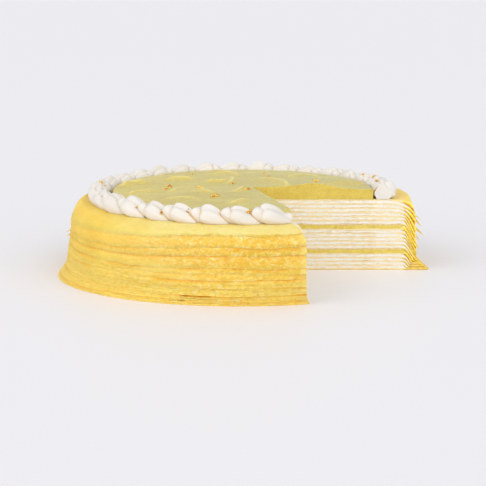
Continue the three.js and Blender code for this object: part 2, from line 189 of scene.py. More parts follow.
# ------------------------------------------------------------------ meshes
def make_object(name, points, faces, materials, face_materials=None, sharp=50):
    """An object from points in millimetres and arrays of triangles and quads."""
    mesh = bpy.data.meshes.new(name)
    mesh.from_pydata(np.array(points) * MM, [], [face for part in faces for face in part.tolist()])
    if face_materials is not None:
        mesh.polygons.foreach_set("material_index", face_materials.astype(np.int32))
    mesh.validate()
    finish_mesh(mesh, materials, sharp)
    piece = bpy.data.objects.new(name, mesh)
    bpy.context.scene.collection.objects.link(piece)
    return piece


def finish_mesh(mesh, materials, sharp=50):
    mesh.shade_smooth()
    mesh.set_sharp_from_angle(angle=math.radians(sharp))
    for material in materials:
        mesh.materials.append(material)


def point_attribute(piece, name, values):
    layer = piece.data.attributes.new(name, "FLOAT", "POINT")
    layer.data.foreach_set("value", np.asarray(values, np.float32))


def cover_rows(near, far, near_at, far_at):
    """Faces between two rows of points: quads, or triangles where the rows' counts differ."""
    if len(near) == len(far):
        return np.stack([near[:-1], near[1:], far[1:], far[:-1]], -1)
    faces = []
    i = j = 0
    while i < len(near) - 1 or j < len(far) - 1:
        if j == len(far) - 1 or (i < len(near) - 1 and near_at[i + 1] <= far_at[j + 1]):
            faces.append((near[i], near[i + 1], far[j]))
            i += 1
        else:
            faces.append((near[i], far[j + 1], far[j]))
            j += 1
    return np.array(faces)


def sector_solid(name, tips, tops, bottoms, materials):
    """A closed solid between two rows of points on every ray from the slice's point.

    tips holds the top and bottom height there. The last material covers the two cut faces.
    """
    rows = [row for pair in zip(tops, bottoms) for row in pair]
    points = np.concatenate([[(*SLICE_POINT, height) for height in tips]] + rows)
    starts = np.cumsum([2] + [len(row) for row in rows])
    index = [np.arange(start, start + len(row)) for start, row in zip(starts, rows)]
    reach = np.hypot(*(points[:, :2] - SLICE_POINT).T)
    upper, lower = index[0::2], index[1::2]
    skin = []
    for tip, side in enumerate((upper, lower)):
        for a, b in zip(side, side[1:]):
            fan = np.array([(tip, a[0], b[0])])
            cover = cover_rows(a, b, reach[a] / reach[a[-1]], reach[b] / reach[b[-1]])
            skin += [part[:, ::-1] if tip else part for part in (fan, cover)]
    rim = np.array([(a[-1], b[-1]) for a, b in zip(upper, lower)])
    skin.append(np.column_stack([rim[:-1], rim[1:, ::-1]]))
    cuts = []
    for m in (0, -1):
        top, low = np.append(0, upper[m]), np.append(1, lower[m])
        face = cover_rows(top, low, reach[top], reach[low])
        cuts.append(face if m else face[:, ::-1])
    skin = [np.concatenate([part for part in skin if part.shape[1] == sides]) for sides in (4, 3)]
    kinds = np.repeat([0, len(materials) - 1], [sum(map(len, skin)), sum(map(len, cuts))])
    return make_object(name, points, skin + cuts, materials, kinds)


def make_tubes(name, shapes, sides, material):
    """An object of closed tubes: each is a point, its rings one after another, and a point."""
    faces, first = [], 0
    for shape in shapes:
        last = first + len(shape) - 1 - sides
        for k in range(sides):
            after = (k + 1) % sides
            faces += [(first, first + 1 + after, first + 1 + k), (last + sides, last + k, last + after)]
            for ring in range(first + 1, last, sides):
                a, b = ring + k, ring + after
                faces += [(a, b, b + sides), (a, b + sides, a + sides)]
        first += len(shape)
    points, faces = np.concatenate(shapes), np.array(faces)
    a, b, c = (points[faces[:, k]] for k in range(3))
    outward = np.einsum("ij,ij->", a, np.cross(b, c)) > 0
    return make_object(name, points, [faces if outward else faces[:, ::-1]], [material])


def combine(piece, shapes, sides, operation):
    """Joins closed tubes to a piece, or cuts them out of it."""
    change = piece.modifiers.new("combine", "BOOLEAN")
    change.operation = operation
    change.solver = "MANIFOLD"
    change.object = make_tubes("tool", shapes, sides, piece.data.materials[0])
    graph = bpy.context.evaluated_depsgraph_get()
    piece.data = bpy.data.meshes.new_from_object(piece.evaluated_get(graph))
    bpy.data.objects.remove(change.object)
    piece.modifiers.clear()


# ------------------------------------------------------------------ materials
def srgb(red, green, blue):
    """A colour given as screen values from 0 to 255, as Blender's linear one."""
    def linear(value):
        c = value / 255
        return c / 12.92 if c <= 0.04045 else ((c + 0.055) / 1.055) ** 2.4
    return (linear(red), linear(green), linear(blue), 1)


class Look:
    """A material whose nodes are added one after another, its colours given as screen values."""

    def __init__(self, name, roughness, subsurface=0.0, radius=(1, 1, 1), scatter=0.002, specular=0.5):
        self.material = bpy.data.materials.new(name)
        self.material.use_nodes = True
        self.tree = self.material.node_tree
        self.shader = self.tree.nodes["Principled BSDF"]
        self.set(self.shader, {
            "Roughness": roughness,
            "Subsurface Weight": subsurface,
            "Subsurface Radius": radius,
            "Subsurface Scale": scatter,
            "Specular IOR Level": specular,
        })
        self.position = self.node("ShaderNodeTexCoord").outputs["Object"]

    def set(self, node, inputs):
        for key, value in inputs.items():
            socket = node.inputs[key]
            if isinstance(value, bpy.types.NodeSocket):
                self.tree.links.new(value, socket)
            else:
                socket.default_value = srgb(*value) if socket.type == "RGBA" else value

    def node(self, kind, inputs=None, **settings):
        node = self.tree.nodes.new(kind)
        for key, value in settings.items():
            setattr(node, key, value)
        self.set(node, inputs or {})
        return node

    def spaced(self, cells):
        """A texture's place and scale, given one number of cells to a metre or three."""
        if not isinstance(cells, tuple):
            return {"Vector": self.position, "Scale": cells}
        mapped = self.node("ShaderNodeMapping", {"Vector": self.position, "Scale": cells})
        return {"Vector": mapped.outputs[0], "Scale": 1}

    def noise(self, cells, detail=4, roughness=0.6, distortion=0):
        grain = {"Detail": detail, "Roughness": roughness, "Distortion": distortion}
        return self.node("ShaderNodeTexNoise", self.spaced(cells) | grain).outputs["Fac"]

    def pits(self, cells):
        return self.node("ShaderNodeTexVoronoi", self.spaced(cells)).outputs["Distance"]

    def ramp(self, value, *stops):
        """A colour ramp. A stop holds a colour, or a number where the ramp gives a share."""
        node = self.node("ShaderNodeValToRGB", {"Fac": value})
        elements = node.color_ramp.elements
        while len(elements) < len(stops):
            elements.new(0.5)
        for element, (at, shown) in zip(elements, stops):
            element.position = at
            element.color = srgb(*shown) if isinstance(shown, tuple) else (shown, shown, shown, 1)
        return node.outputs["Color"]

    def mix(self, share, first, second):
        return self.node("ShaderNodeMix", {0: share, 6: first, 7: second}, data_type="RGBA").outputs[2]

    def math(self, operation, *values):
        return self.node("ShaderNodeMath", dict(enumerate(values)), operation=operation).outputs[0]

    def shaken(self, value, noise, size):
        """A value with a noise added to it, about the noise's middle."""
        return self.math("MULTIPLY_ADD", self.math("SUBTRACT", noise, 0.5), size, value)

    def rising(self, axis, slope, start):
        """A share from 0 to 1 that changes along an axis: its slope to a metre, and its value at 0."""
        along = self.node("ShaderNodeSeparateXYZ", {"Vector": self.position}).outputs[axis]
        share = self.math("MULTIPLY_ADD", along, slope, start)
        return self.node("ShaderNodeClamp", {"Value": share}).outputs[0]

    def attribute(self, name, share=1.0):
        value = self.node("ShaderNodeAttribute", attribute_name=name).outputs["Fac"]
        return self.math("MULTIPLY", value, share)

    def finish(self, colour, height, distance, strength):
        """The material with its colour and the fine relief of its surface."""
        bump = self.node("ShaderNodeBump", {"Height": height, "Distance": distance, "Strength": strength})
        self.set(self.shader, {"Base Color": colour, "Normal": bump.outputs["Normal"]})
        return self.material


def crepe_skin():
    """A crepe's browned outside: golden and crumbly on the side, smooth and paler on the shoulder, with
    painted light and shade: painted shade in the crumbs' pits and under each lip, painted highlights on the
    crumbs, the lips and the side near the cut, and painted light at the foot and on the front of the
    shoulder.
    """
    look = Look("crepe_skin", 0.62, 0.45, (1.0, 0.6, 0.22), 0.003, 0.3)
    blotch = look.noise((60, 60, 110))
    grain = look.noise((360, 360, 460), 4, 0.62, 0.8)
    pores = look.pits((420, 420, 620))
    crumbly = look.attribute("crumbly")
    # On crumbly parts the grain is painted light and shade: painted shade in the pits, painted highlights
    # on the crumbs' tips.
    dark = look.math("MULTIPLY", look.ramp(grain, (0.34, 0.8), (0.5, 0.0)), crumbly)
    crumb_highlight = look.math("MULTIPLY", look.ramp(grain, (0.52, 0.0), (0.72, 0.8)), crumbly)
    wall = look.ramp(blotch, (0.33, (234, 187, 66)), (0.5, (237, 193, 76)), (0.68, (243, 203, 94)))
    # Painted light: the wall is painted brighter towards the foot, standing in for warm light bounced up
    # from below.
    wall = look.mix(look.rising("Z", -60, 1.44), wall, (255, 211, 98))
    wall = look.mix(dark, wall, (222, 170, 50))
    wall = look.mix(crumb_highlight, wall, (255, 240, 184))
    # Painted light: the shoulder's front is painted paler than its left side, as the light falls more on
    # the front.
    front = look.ramp(blotch, (0.33, (246, 212, 118)), (0.66, (249, 221, 138)))
    left = look.ramp(blotch, (0.33, (243, 198, 80)), (0.66, (250, 210, 96)))
    shoulder = look.mix(look.rising("X", 22, 2), left, front)
    colour = look.mix(look.attribute("rough"), shoulder, wall)
    # Painted highlight: the lips, and the side near the cut, are painted paler as if catching the light.
    colour = look.mix(look.attribute("edge", 0.3), colour, (255, 228, 140))
    colour = look.mix(look.attribute("shaded", 0.95), colour, (228, 155, 24))
    return look.finish(colour, look.math("MULTIPLY_ADD", pores, 0.3, grain), 0.0012, 0.8)


def crepe_section():
    """A crepe where the knife went through, with cream dragged across it in streaks."""
    look = Look("crepe_section", 0.6, 0.3, (1.0, 0.75, 0.5), 0.002, 0.3)
    streak = look.noise((160, 160, 1300), 4, 0.6, 0.3)
    smear = look.noise((260, 260, 520), 4, 0.65)
    crumb = look.noise(1400, 3)
    inner = look.ramp(streak, (0.36, (248, 226, 172)), (0.52, (247, 217, 150)), (0.68, (250, 235, 202)))
    inner = look.mix(look.ramp(smear, (0.54, 0.0), (0.72, 0.6)), inner, (247, 236, 216))
    toasted = look.ramp(crumb, (0.4, (204, 164, 90)), (0.6, (240, 216, 162)))
    inner = look.mix(look.attribute("toasted", 0.8), inner, toasted)
    across = look.shaken(look.shaken(look.attribute("low"), crumb, 0.5), smear, 1.1)
    browned = look.ramp(across, (0.1, (255, 236, 124)), (0.4, (255, 218, 64)), (0.68, (244, 182, 30)),
                        (0.9, (158, 92, 14)))
    return look.finish(look.mix(look.attribute("outer"), inner, browned), crumb, 0.0004, 0.7)


def cream_material():
    """Pastry cream on the cut, with specks of crepe dragged into it."""
    look = Look("pastry_cream", 0.55, 0.35, (1.0, 0.85, 0.65), 0.002, 0.35)
    streak = look.noise((220, 220, 1100))
    specks = look.noise((700, 700, 900), 3)
    base = look.ramp(streak, (0.32, (244, 222, 180)), (0.47, (241, 235, 224)), (0.7, (244, 240, 234)))
    base = look.mix(look.ramp(specks, (0.5, 0.0), (0.64, 0.6)), base, (246, 216, 156))
    return look.finish(base, look.noise(1300, 3), 0.0004, 0.7)


def green_skin():
    """The green cream where the spatula smoothed it: its flats, and most of all its right side, carry a
    painted sky sheen in a greyer colour, it shows its own yellower colour where it slopes, and a painted
    highlight runs along the crests.
    """
    look = Look("green_cream_skin", 0.4, 0.25, (1.0, 0.9, 0.45), 0.003, 0.5)
    cloud = look.noise(26, 3, 0.5)
    flow = look.noise((20, 64, 40), 4, 0.55, 0.7)
    fine = look.noise((200, 200, 60), 3, 0.5)
    grain = look.noise(520, 3)
    # Painted sheen: the right side is painted greyer, standing in for sky reflected off its flat top.
    warm = look.ramp(cloud, (0.36, (209, 192, 92)), (0.62, (216, 196, 86)))
    sheen_side = look.ramp(cloud, (0.36, (196, 188, 112)), (0.62, (202, 190, 106)))
    base = look.mix(look.rising("X", 8, 0.62), warm, sheen_side)
    base = look.mix(look.ramp(flow, (0.36, 0.5), (0.5, 0.0)), base, (194, 172, 82))
    base = look.mix(look.ramp(flow, (0.52, 0.0), (0.68, 0.5)), base, (226, 212, 132))
    # The flats keep a painted sky sheen in their greyer colour; where the cream slopes it shows its own
    # yellower colour.
    base = look.mix(look.attribute("slope", 0.5), base, (218, 190, 78))
    # Painted highlight along the crests of the lips.
    base = look.mix(look.attribute("crest", 0.85), base, (246, 230, 138))
    base = look.mix(0.16, base, look.ramp(grain, (0.35, (150, 130, 50)), (0.65, (250, 240, 190))))
    return look.finish(base, look.math("ADD", fine, grain), 0.0003, 0.4)


def green_section(name, dark, light):
    """The green cream where the knife went through."""
    look = Look(name, 0.5, 0.3, (1.0, 0.8, 0.3), 0.002, 0.35)
    cloud = look.noise((90, 90, 260))
    grain = look.noise(900, 3)
    base = look.ramp(cloud, (0.35, dark), (0.65, light))
    base = look.mix(look.ramp(grain, (0.38, 0.22), (0.56, 0.0)), base, (170, 130, 40))
    base = look.mix(look.ramp(look.pits(300), (0.05, 1.0), (0.12, 0.0)), base, (170, 130, 46))
    return look.finish(base, look.math("ADD", cloud, grain), 0.0003, 0.5)


def whipped_material():
    """Whipped cream, with painted warm shade down in the creases between its petals."""
    look = Look("whipped_cream", 0.5, 0.3, (1.0, 0.88, 0.72), 0.003, 0.3)
    base = look.ramp(look.noise(60, 3, 0.5), (0.3, (219, 214, 206)), (0.7, (226, 221, 215)))
    # Painted shade: creases found by occlusion are painted a warm tone, standing in for light bounced and
    # lost between the petals.
    open_air = look.node("ShaderNodeAmbientOcclusion", {"Distance": 0.003}, samples=8, only_local=True)
    crease_shade = look.ramp(open_air.outputs["AO"], (0.3, 1.0), (0.72, 0.0))
    base = look.mix(crease_shade, base, (236, 208, 150))
    return look.finish(base, look.noise(700, 2, 0.5), 0.0002, 0.3)


def gold_material():
    look = Look("gold_leaf", 0.36, 0, specular=0.6)
    look.set(look.shader, {"Metallic": 0.55})
    tint = look.noise(1100, 2, 0.5)
    colour = look.ramp(tint, (0.36, (150, 92, 20)), (0.46, (224, 168, 50)), (0.56, (252, 208, 92)),
                       (0.68, (255, 234, 156)))
    return look.finish(colour, tint, 0.0004, 0.9)


# ------------------------------------------------------------------ the stack's layers
def stack_layers():
    crepes, creams, fillings = [], [], []
    height = 0.0

    def lay(kind, thickness):
        nonlocal height
        kind.append((height, height + thickness, len(crepes)))
        height += thickness + LAYER_GAP

    for g, (count, cream) in enumerate(GROUPS):
        for n in range(count):
            lay(crepes, CREPE_THICKNESS - LAYER_GAP)
            if n < count - 1:
                lay(creams, cream - LAYER_GAP)
        if g < len(GROUPS) - 1:
            lay(fillings, FILLING_THICKNESS - LAYER_GAP)
    return crepes, creams, fillings, height


crepes, creams, fillings, CREPE_TOP = stack_layers()
LAST = len(crepes) - 1
ABOVE_FILLINGS = {above for _, _, above in fillings}

# Fine radii on every ray, over which the crepes are draped from the bottom up.
INNER = 90.0
RADII_STEP = 0.1
RADII = np.arange(INNER, 130, RADII_STEP)
RAY_STEP = math.radians(0.4)
RAYS = np.linspace(0, CAKE_ANGLE, round(CAKE_ANGLE / RAY_STEP) + 1)
DEGREES = np.degrees(RAYS)
ARC = RAYS * SIDE_RADIUS
DRAPE_SLOPE, STEEPEST, THICKEST = 1.3, 3, 2.1

# Where the crepes end on the side, from the top one down: the lip's height at the front, how much
# lower it is on the left and at the back, how far the wall is set back under the lip above, and
# what share of that is lost on the left.
LIPS = [
    (42.3, 5.5, 4.8, 0.1, 0.0), (35.6, 6.5, 2.0, 0.12, 0.5), (30.3, 4.5, 1.3, 0.6, 0.4),
    (22.6, 2.2, -0.8, 0.6, 0.0), (18.8, 1.2, -0.8, 0.6, 0.3), (15.5, 0.6, -0.8, 0.15, 0.8),
    (12.6, 0.2, 0.0, 0.6, 0.3), (10.9, 0.0, 0.0, 0.1, 0.8), (9.6, 0.0, 0.0, 0.2, 0.8),
]
LEFT_PLACE = (200, 55)
BACK_UNTIL, BACK_FADE = 115, 45
LIP_THICKNESS, LIP_OUT = 0.35, 0.05

# The crepes below these lie in the skirt, one lip just above another.
SKIRT_CREPES = len(crepes) - len(LIPS)
SKIRT_RISE = 1.05
SKIRT_STEPS = [0.25, 0.3, 0.2, 0.1, 0.04, 0.3, 0.1, 0.04, 0.1]
SKIRT_FLAT_LEFT, FOOT_STEP = 0.2, 0.4
LEDGES = [
    # the deepest ones: in which crepe, counted down from the top one, where round the side, how deep
    (2, (284, 9), 1.1), (2, (222, 22), 0.5), (3, (279, 15), 1.1), (3, (228, 34), 0.6),
    (4, (262, 19), 1.6), (4, (284, 8), 1.2), (5, (286, 6), 1.0), (6, (267, 30), 1.5),
    (8, (286, 6), 0.9), (12, (259, 19), 1.5), (12, (286, 8), 0.9),
]

# Unevenness along the side: each wave's size, length, shift from one crepe to the next and seed.
LIP_WAVES = [(1.4, 47, 0.45, 1), (0.9, 17, 1.1, 2)]
LIP_FINE = [(0.22, 4.5, 5.3, 3), (0.12, 1.7, 5.3, 4)]
STEP_WAVES = [(1.4, 27, 2.9, 8), (0.5, 9, 2.9, 9)]
LEDGE_WAVES = [(0.6, 6, 2.9, 21)]
END_WAVES = [(0.22, 21, 7.3, 5), (0.13, 5, 7.3, 6)]
RIM_WAVES = [(0.5, 2.6, 3, 18), (0.4, 9, 3, 19)]
WAVES_AT_TOP, WAVES_GROW_OVER = 0.6, 3
WAVES_END, WAVES_FADE = 7, 8
SKIRT_WAVES, SKIRT_FINE = 0.25, 0.4
STEP_LEAST, LAST_END = 0.35, 0.4

# How much a wall's set-back follows its wave, and its least and largest share: skirt, then side.
SKIRT_SHARES, SIDE_SHARES = (1.4, 0.02, 1.5), (1.3, 0.04, 1.6)

CLOSING, CLOSED = 7.0, 3.0
FILLING_CLOSING, FILLING_CLOSED = 11.5, 7.0
FAN_GAP = 0.14
RIM_INSET, RIM_THINNING = 0.3, 3


def along_side(waves, index):
    """How uneven a crepe is on every ray."""
    return sum(size * noise(ARC / long, index * shift, seed) for size, long, shift, seed in waves)


def fall(radius, steepness):
    """How far a crepe has fallen at a radius, given how much of the steep fall it follows."""
    on_shoulder = np.clip((radius - SHOULDER_START) / SHOULDER_RUN, 0, SHOULDER_LIMIT)
    shoulder = SHOULDER_DROP * (1 - np.sqrt(1 - on_shoulder**2))
    past = np.maximum(radius - STEEP_START, 0)
    bend = STEEP_SLOPE * (np.hypot(past, STEEP_ROUNDING) - STEEP_ROUNDING)
    on_hang = np.minimum(past / HANG_RUN, HANG_LIMIT)
    hang = HANG_DROP * (1 - np.sqrt(1 - on_hang**2))
    hang = hang + HANG_END_SLOPE * np.maximum(past - HANG_LIMIT * HANG_RUN, 0)
    return shoulder + ((bend + hang) / 2 - shoulder) * steepness


def side_radius(angle, height):
    """The cake's side and the skirt at its foot."""
    degrees = np.degrees(angle)
    swell = SWELL * np.maximum(1 - height / SWELL_HEIGHT, 0)
    lean = nearness(degrees, LEAN_PLACE)
    leaning = lean * (LEAN_LOW + (LEAN_HIGH - LEAN_LOW) * np.minimum(height / LEAN_HEIGHT, 1))
    tucked = sum(depth * nearness(degrees, place) for depth, place in TUCKS)
    spread = np.maximum(1 - height / SKIRT_HEIGHT, 0)
    return SIDE_RADIUS + swell + leaning + (FLARE - LEAN_LOW * lean - tucked) * spread


def outline_radius(angle, height):
    """The cake's outline at a height: the rounded shoulder over the side."""
    side = side_radius(angle, height)
    fallen = np.clip((CREPE_TOP - SHOULDER_SKIN - height) / SHOULDER_DROP, 0, 1)
    shoulder = SHOULDER_START + SHOULDER_RUN * np.sqrt(1 - (1 - fallen) ** 2)
    return np.where(fallen < 1, np.minimum(side, shoulder), side)


def puff(angle, radius):
    """How far the top crepe's upper side stands up at a place on its rim."""
    degrees = np.degrees(angle)
    total = 0
    for rise, start, full, fade, gone, inner, peak, outer in PUFFS:
        turning = rising(degrees, start, full - start) * (1 - rising(degrees, fade, gone - fade))
        up = np.clip((radius - inner) / (peak - inner), 0, 1) ** PUFF_POWER
        past = np.clip((radius - peak) / (outer - peak), 0, 1)
        total = total + rise * turning * up * np.sqrt(1 - past**2)
    return total


def lip_line(index):
    """Height of a crepe's lip on every ray, and how far its wall is set back under the lip above."""
    waves, fine = along_side(LIP_WAVES, index), along_side(LIP_FINE, index)
    from_top = LAST - index
    left, back = nearness(DEGREES, LEFT_PLACE), 1 - rising(DEGREES, BACK_UNTIL, BACK_FADE)
    step_wave = STEP_LEAST + along_side(STEP_WAVES, index)
    ledges = [deep * nearness(DEGREES, at) for n, at, deep in LEDGES if n == from_top]
    ledge = sum(ledges, np.zeros(len(RAYS))) * (1 + along_side(LEDGE_WAVES, index))
    follow, least, largest = SKIRT_SHARES if index < SKIRT_CREPES else SIDE_SHARES
    share = np.clip(step_wave * follow, least, largest)
    if index < SKIRT_CREPES:
        height = SKIRT_RISE * index + (SKIRT_WAVES * waves + SKIRT_FINE * fine) * (index > 0)
        step = SKIRT_STEPS[index] * share * (1 - SKIRT_FLAT_LEFT * left)
    else:
        front, left_dip, back_dip, set_back, flat_left = LIPS[from_top]
        scale = min(1.0, from_top / WAVES_GROW_OVER + WAVES_AT_TOP, (front - WAVES_END) / WAVES_FADE)
        height = front - left_dip * left - back_dip * back + waves * scale + fine
        step = set_back * share * (1 - flat_left * left)
    return height, np.maximum(step, ledge)


def closing_of(index):
    """How far inside the wall a crepe starts to meet the one above it, and has met it."""
    return (FILLING_CLOSING, FILLING_CLOSED) if index + 1 in ABOVE_FILLINGS else (CLOSING, CLOSED)


def at_radii(rows, radii):
    """The height in each row at that row's radius."""
    return np.array([np.interp(radius, RADII, row) for radius, row in zip(radii, rows)])


def drape_stack():
    """For every crepe its two sides over the fine radii, and its lip's radius, height and step."""
    floor = np.zeros((len(RAYS), len(RADII)))
    stack = []
    for index, (bottom, top, _) in enumerate(crepes):
        lip, step = lip_line(index)
        steepness = smoothstep((crepes[LAST][0] - bottom) / BLEND_DEPTH)
        end = outline_radius(RAYS, lip) + along_side(END_WAVES, index) * (LAST_END if index == LAST else 1)
        resting = floor.copy()
        for j in range(1, len(RADII)):
            resting[:, j] = np.maximum(floor[:, j], resting[:, j - 1] - DRAPE_SLOPE * RADII_STEP)
        under = np.maximum(bottom - fall(RADII, steepness), resting)
        bent = smoothstep((RADII - STEEP_START) / (end[:, None] - STEEP_START))
        under = under + (lip - at_radii(under, end))[:, None] * bent
        slope = np.clip(-np.gradient(under, RADII, axis=1), 0, STEEPEST)
        over = under + (top - bottom) * np.minimum(np.hypot(1, slope), THICKEST)
        floor = np.where(RADII <= end[:, None], over + LAYER_GAP, floor)
        stack.append({"under": under, "over": over, "end": end, "lip": lip, "step": step})
    stack[0]["lip_step"] = np.full(len(RAYS), FOOT_STEP)
    for index, (crepe, above) in enumerate(zip(stack, stack[1:])):
        crepe["wall"] = above["end"] - crepe["step"]
        above["lip_step"] = crepe["step"]
        start, done = closing_of(index)
        closing = rising(RADII, crepe["wall"][:, None] - start, start - done)
        open_top = np.minimum(crepe["over"], above["under"] - LAYER_GAP)
        roof = above["under"] - LAYER_GAP
        roof[[0, -1]] -= FAN_GAP
        crepe["over"] = open_top + (roof - open_top) * closing
    last = stack[LAST]
    last["wall"] = last["end"] - RIM_INSET
    thinning = rising(RADII, last["end"][:, None] - RIM_THINNING, RIM_THINNING)
    last["over"] = last["over"] + (last["under"] + LIP_THICKNESS - last["over"]) * thinning
    last["over"] = last["over"] + puff(RAYS[:, None], RADII)
    return stack


stack = drape_stack()
rim_ragged = along_side(RIM_WAVES, 1)

# ------------------------------------------------------------------ crepes
# Shares of the way from the flat part to the wall at which a crepe has points.
SKIN_STOPS = np.array([0, 0.3, 0.5, 0.65, 0.77, 0.86, 0.92, 0.96, 1])
TOP_STOPS = np.linspace(0, 1, 46)
CUT_STOPS = np.linspace(0, 1, 44)
UNDER_STOPS = [0, 0.4, 0.65, 0.82, 0.93]
GROOVE_WALL, GROOVE_SKIRT = 0.99, 0.996
CUT_SPACING, FLAT_RADIUS = 1.1, 50.0

# The cut faces' two waves: each one's size, length and shift from one layer to the next.
CUT_WAVES = [(0.26, 15, 0.8), (0.30, 2.8, 3.1)]
CUT_FINE_START = 4
OVER_SEED, UNDER_SEED = 10, 20
WOBBLE_END, WOBBLE_FADE = 112, 6

# The unevenness of the top crepe and the walls: sizes, lengths both ways and seeds.
CREASES = [(0.10, 18, 2.2, 16), (0.05, 5, 1.1, 17)]
CREASE_RADII = (98, 5)
CRUMBS = [(0.5, 2.3, 1.7, 12), (0.5, 1.3, 1.0, 13)]
FOLDS = [(1.0, 11, 2.1, 14)]
CRUMBLY_WAVES = [(1.6, 16, 7, 15)]
CRUMBLY_PLACE, CRUMBLY_HEIGHTS, LEAST_CRUMBLY = (266, 62), (22, 6), 0.3
CRUMBLY_BELOW, CRUMBLY_BETWEEN = 0.4, 0.65
WALL_SPACING, WALL_ROWS = 0.5, (3, 12)
TALL_WALL, BELLY, BELLY_POWER, STEP_CURVE = (1.5, 3), 0.45, 0.8, 1.4
BELLY_ABOVE, UNEVEN_BELOW = 1.1, 0.9

# How deep crumbs and folds are on a smooth wall, and how much deeper on a crumbly one.
CRUMB_DEPTH, CRUMB_MORE, FOLD_DEPTH, FOLD_MORE = 0.2, 0.55, 0.28, -0.14

# How the cut at the front leaves its plane: degrees at some radii, above a height, and at the foot.
CUT_BLEND = math.radians(5)
PULLED_BACK = ([80, 86, 98, 105, 111, 114.5], [0, 0.9, 2.0, 0.9, 0.4, 0])
PULLED_HEIGHTS = (36, 4)
SPLAYED, SPLAY_HEIGHT, SPLAY_RADII = 1.3, 8, (100, 10)

# Where a crepe looks browned or smooth, where it is painted pale as a highlight, and where it is painted
# with shade.
RIM_BROWNS, RIM_BLEND = 1.1, 1.0
CUT_PALE, CUT_PALENESS = math.radians(3.2), 2.0
PALE_FOOT, PALE_FOOT_CREPES, PALE_STEP = 2.2, 2, 0.5
SMOOTH_PLACE, SMOOTH_LEFT, SMOOTH_HEIGHTS = (214, 55), 0.7, (10, 12)
SHADE_DEPTH, SHADE_STEP, HIDDEN_SHADE = 2.6, 0.8, 0.8
BROWNED_RADII, BROWNED_FOOT = (104, 4), 0.4


def cut_shift(angle, radius, height):
    """How the cut at the front leaves its plane: pulled back on the shoulder, splayed at the foot."""
    near = rising(angle, CAKE_ANGLE - CUT_BLEND, CUT_BLEND)
    pulled = np.interp(radius, *PULLED_BACK) * rising(height, *PULLED_HEIGHTS)
    splayed = SPLAYED * np.maximum(1 - height / SPLAY_HEIGHT, 0) ** 2 * rising(radius, *SPLAY_RADII)
    return np.radians(splayed - pulled) * near


def cut_wobble(index, reach, seed):
    """A layer's small rise and fall where the knife went through."""
    slow, fine = (size * noise(reach / long, index * shift, seed + n)
                  for n, (size, long, shift) in enumerate(CUT_WAVES))
    return slow + fine * smoothstep(reach / CUT_FINE_START)


def layer_row(index, seed, m, level, radii, heights):
    """A layer's points on a ray, level inside and draped at its radii: reaches, heights and radii."""
    at_cut = m in (0, len(RAYS) - 1)
    inside = reach_of(RAYS[m], INNER)
    inner = np.arange(CUT_SPACING, inside - 0.3, CUT_SPACING) if at_cut else np.array([inside * 0.5])
    reach = np.append(inner, reach_of(RAYS[m], radii))
    height = np.append(np.full(len(inner), level), heights)
    if at_cut:
        fading = smoothstep((reach_of(RAYS[m], WOBBLE_END) - reach) / WOBBLE_FADE)
        height = height + cut_wobble(index, reach, seed) * fading
    return reach, height, np.append(np.full(len(inner), FLAT_RADIUS), radii)


def crumbly_at(degrees, height):
    """How torn and crumbly the side is: most at the front, in the upper half."""
    round_front = nearness(degrees, CRUMBLY_PLACE)
    upper = rising(height, *CRUMBLY_HEIGHTS) * (1 - CRUMBLY_BELOW) + CRUMBLY_BELOW
    patches = relief(CRUMBLY_WAVES, np.radians(degrees) * SIDE_RADIUS, height)
    uneven = CRUMBLY_BETWEEN + (1 - CRUMBLY_BETWEEN) * smoothstep(patches + 0.5)
    return np.clip(LEAST_CRUMBLY + round_front * upper * uneven, 0, 1)


def wall_points(index):
    """Points down a crepe's outside, from under the lip above it to its own: radius and height."""
    if index == LAST:
        return [np.zeros((len(RAYS), 0))] * 2
    crepe, above = stack[index], stack[index + 1]
    count = int(np.clip(round(np.mean(above["lip"] - crepe["lip"]) / WALL_SPACING), *WALL_ROWS))
    t = np.linspace(0, 1, count + 1)[None, 1:]
    start = at_radii(above["under"], crepe["wall"]) - LAYER_GAP
    tall = (start - crepe["lip"] - LIP_THICKNESS)[:, None]
    height = start[:, None] - tall * t
    radius = outline_radius(RAYS[:, None], height) - crepe["step"][:, None] * (1 - t) ** STEP_CURVE
    radius = radius + (crepe["end"] - outline_radius(RAYS, crepe["lip"]))[:, None] * t
    tall_part = rising(tall, *TALL_WALL)
    radius = radius + BELLY * tall_part * np.sin(math.pi * np.minimum(t * BELLY_ABOVE, 1)) ** BELLY_POWER
    crumb = relief(CRUMBS, ARC[:, None], height, index * 9)
    folds = relief(FOLDS, ARC[:, None], height, index * 4)
    crumbly = crumbly_at(DEGREES[:, None], height)
    uneven = (CRUMB_DEPTH + CRUMB_MORE * crumbly) * crumb
    uneven = uneven + (FOLD_DEPTH + FOLD_MORE * crumbly) * folds * tall_part
    return radius + uneven * np.sin(math.pi * np.minimum(t * UNEVEN_BELOW, 1)), height


def top_looks(m, rim_radii):
    """How rough the top crepe is over a ray's points, where its lip is painted pale as a highlight, its
    painted shade, and its underside's painted shade.
    """
    browned = rim_radii - stack[LAST]["end"][m] + RIM_BROWNS + rim_ragged[m]
    rough = smoothstep(browned / RIM_BLEND) * (1 - SMOOTH_LEFT * nearness(DEGREES[m], SMOOTH_PLACE))
    return np.append(rough, rough[-1]), np.append(0 * rough, 1.0), 0.0, HIDDEN_SHADE


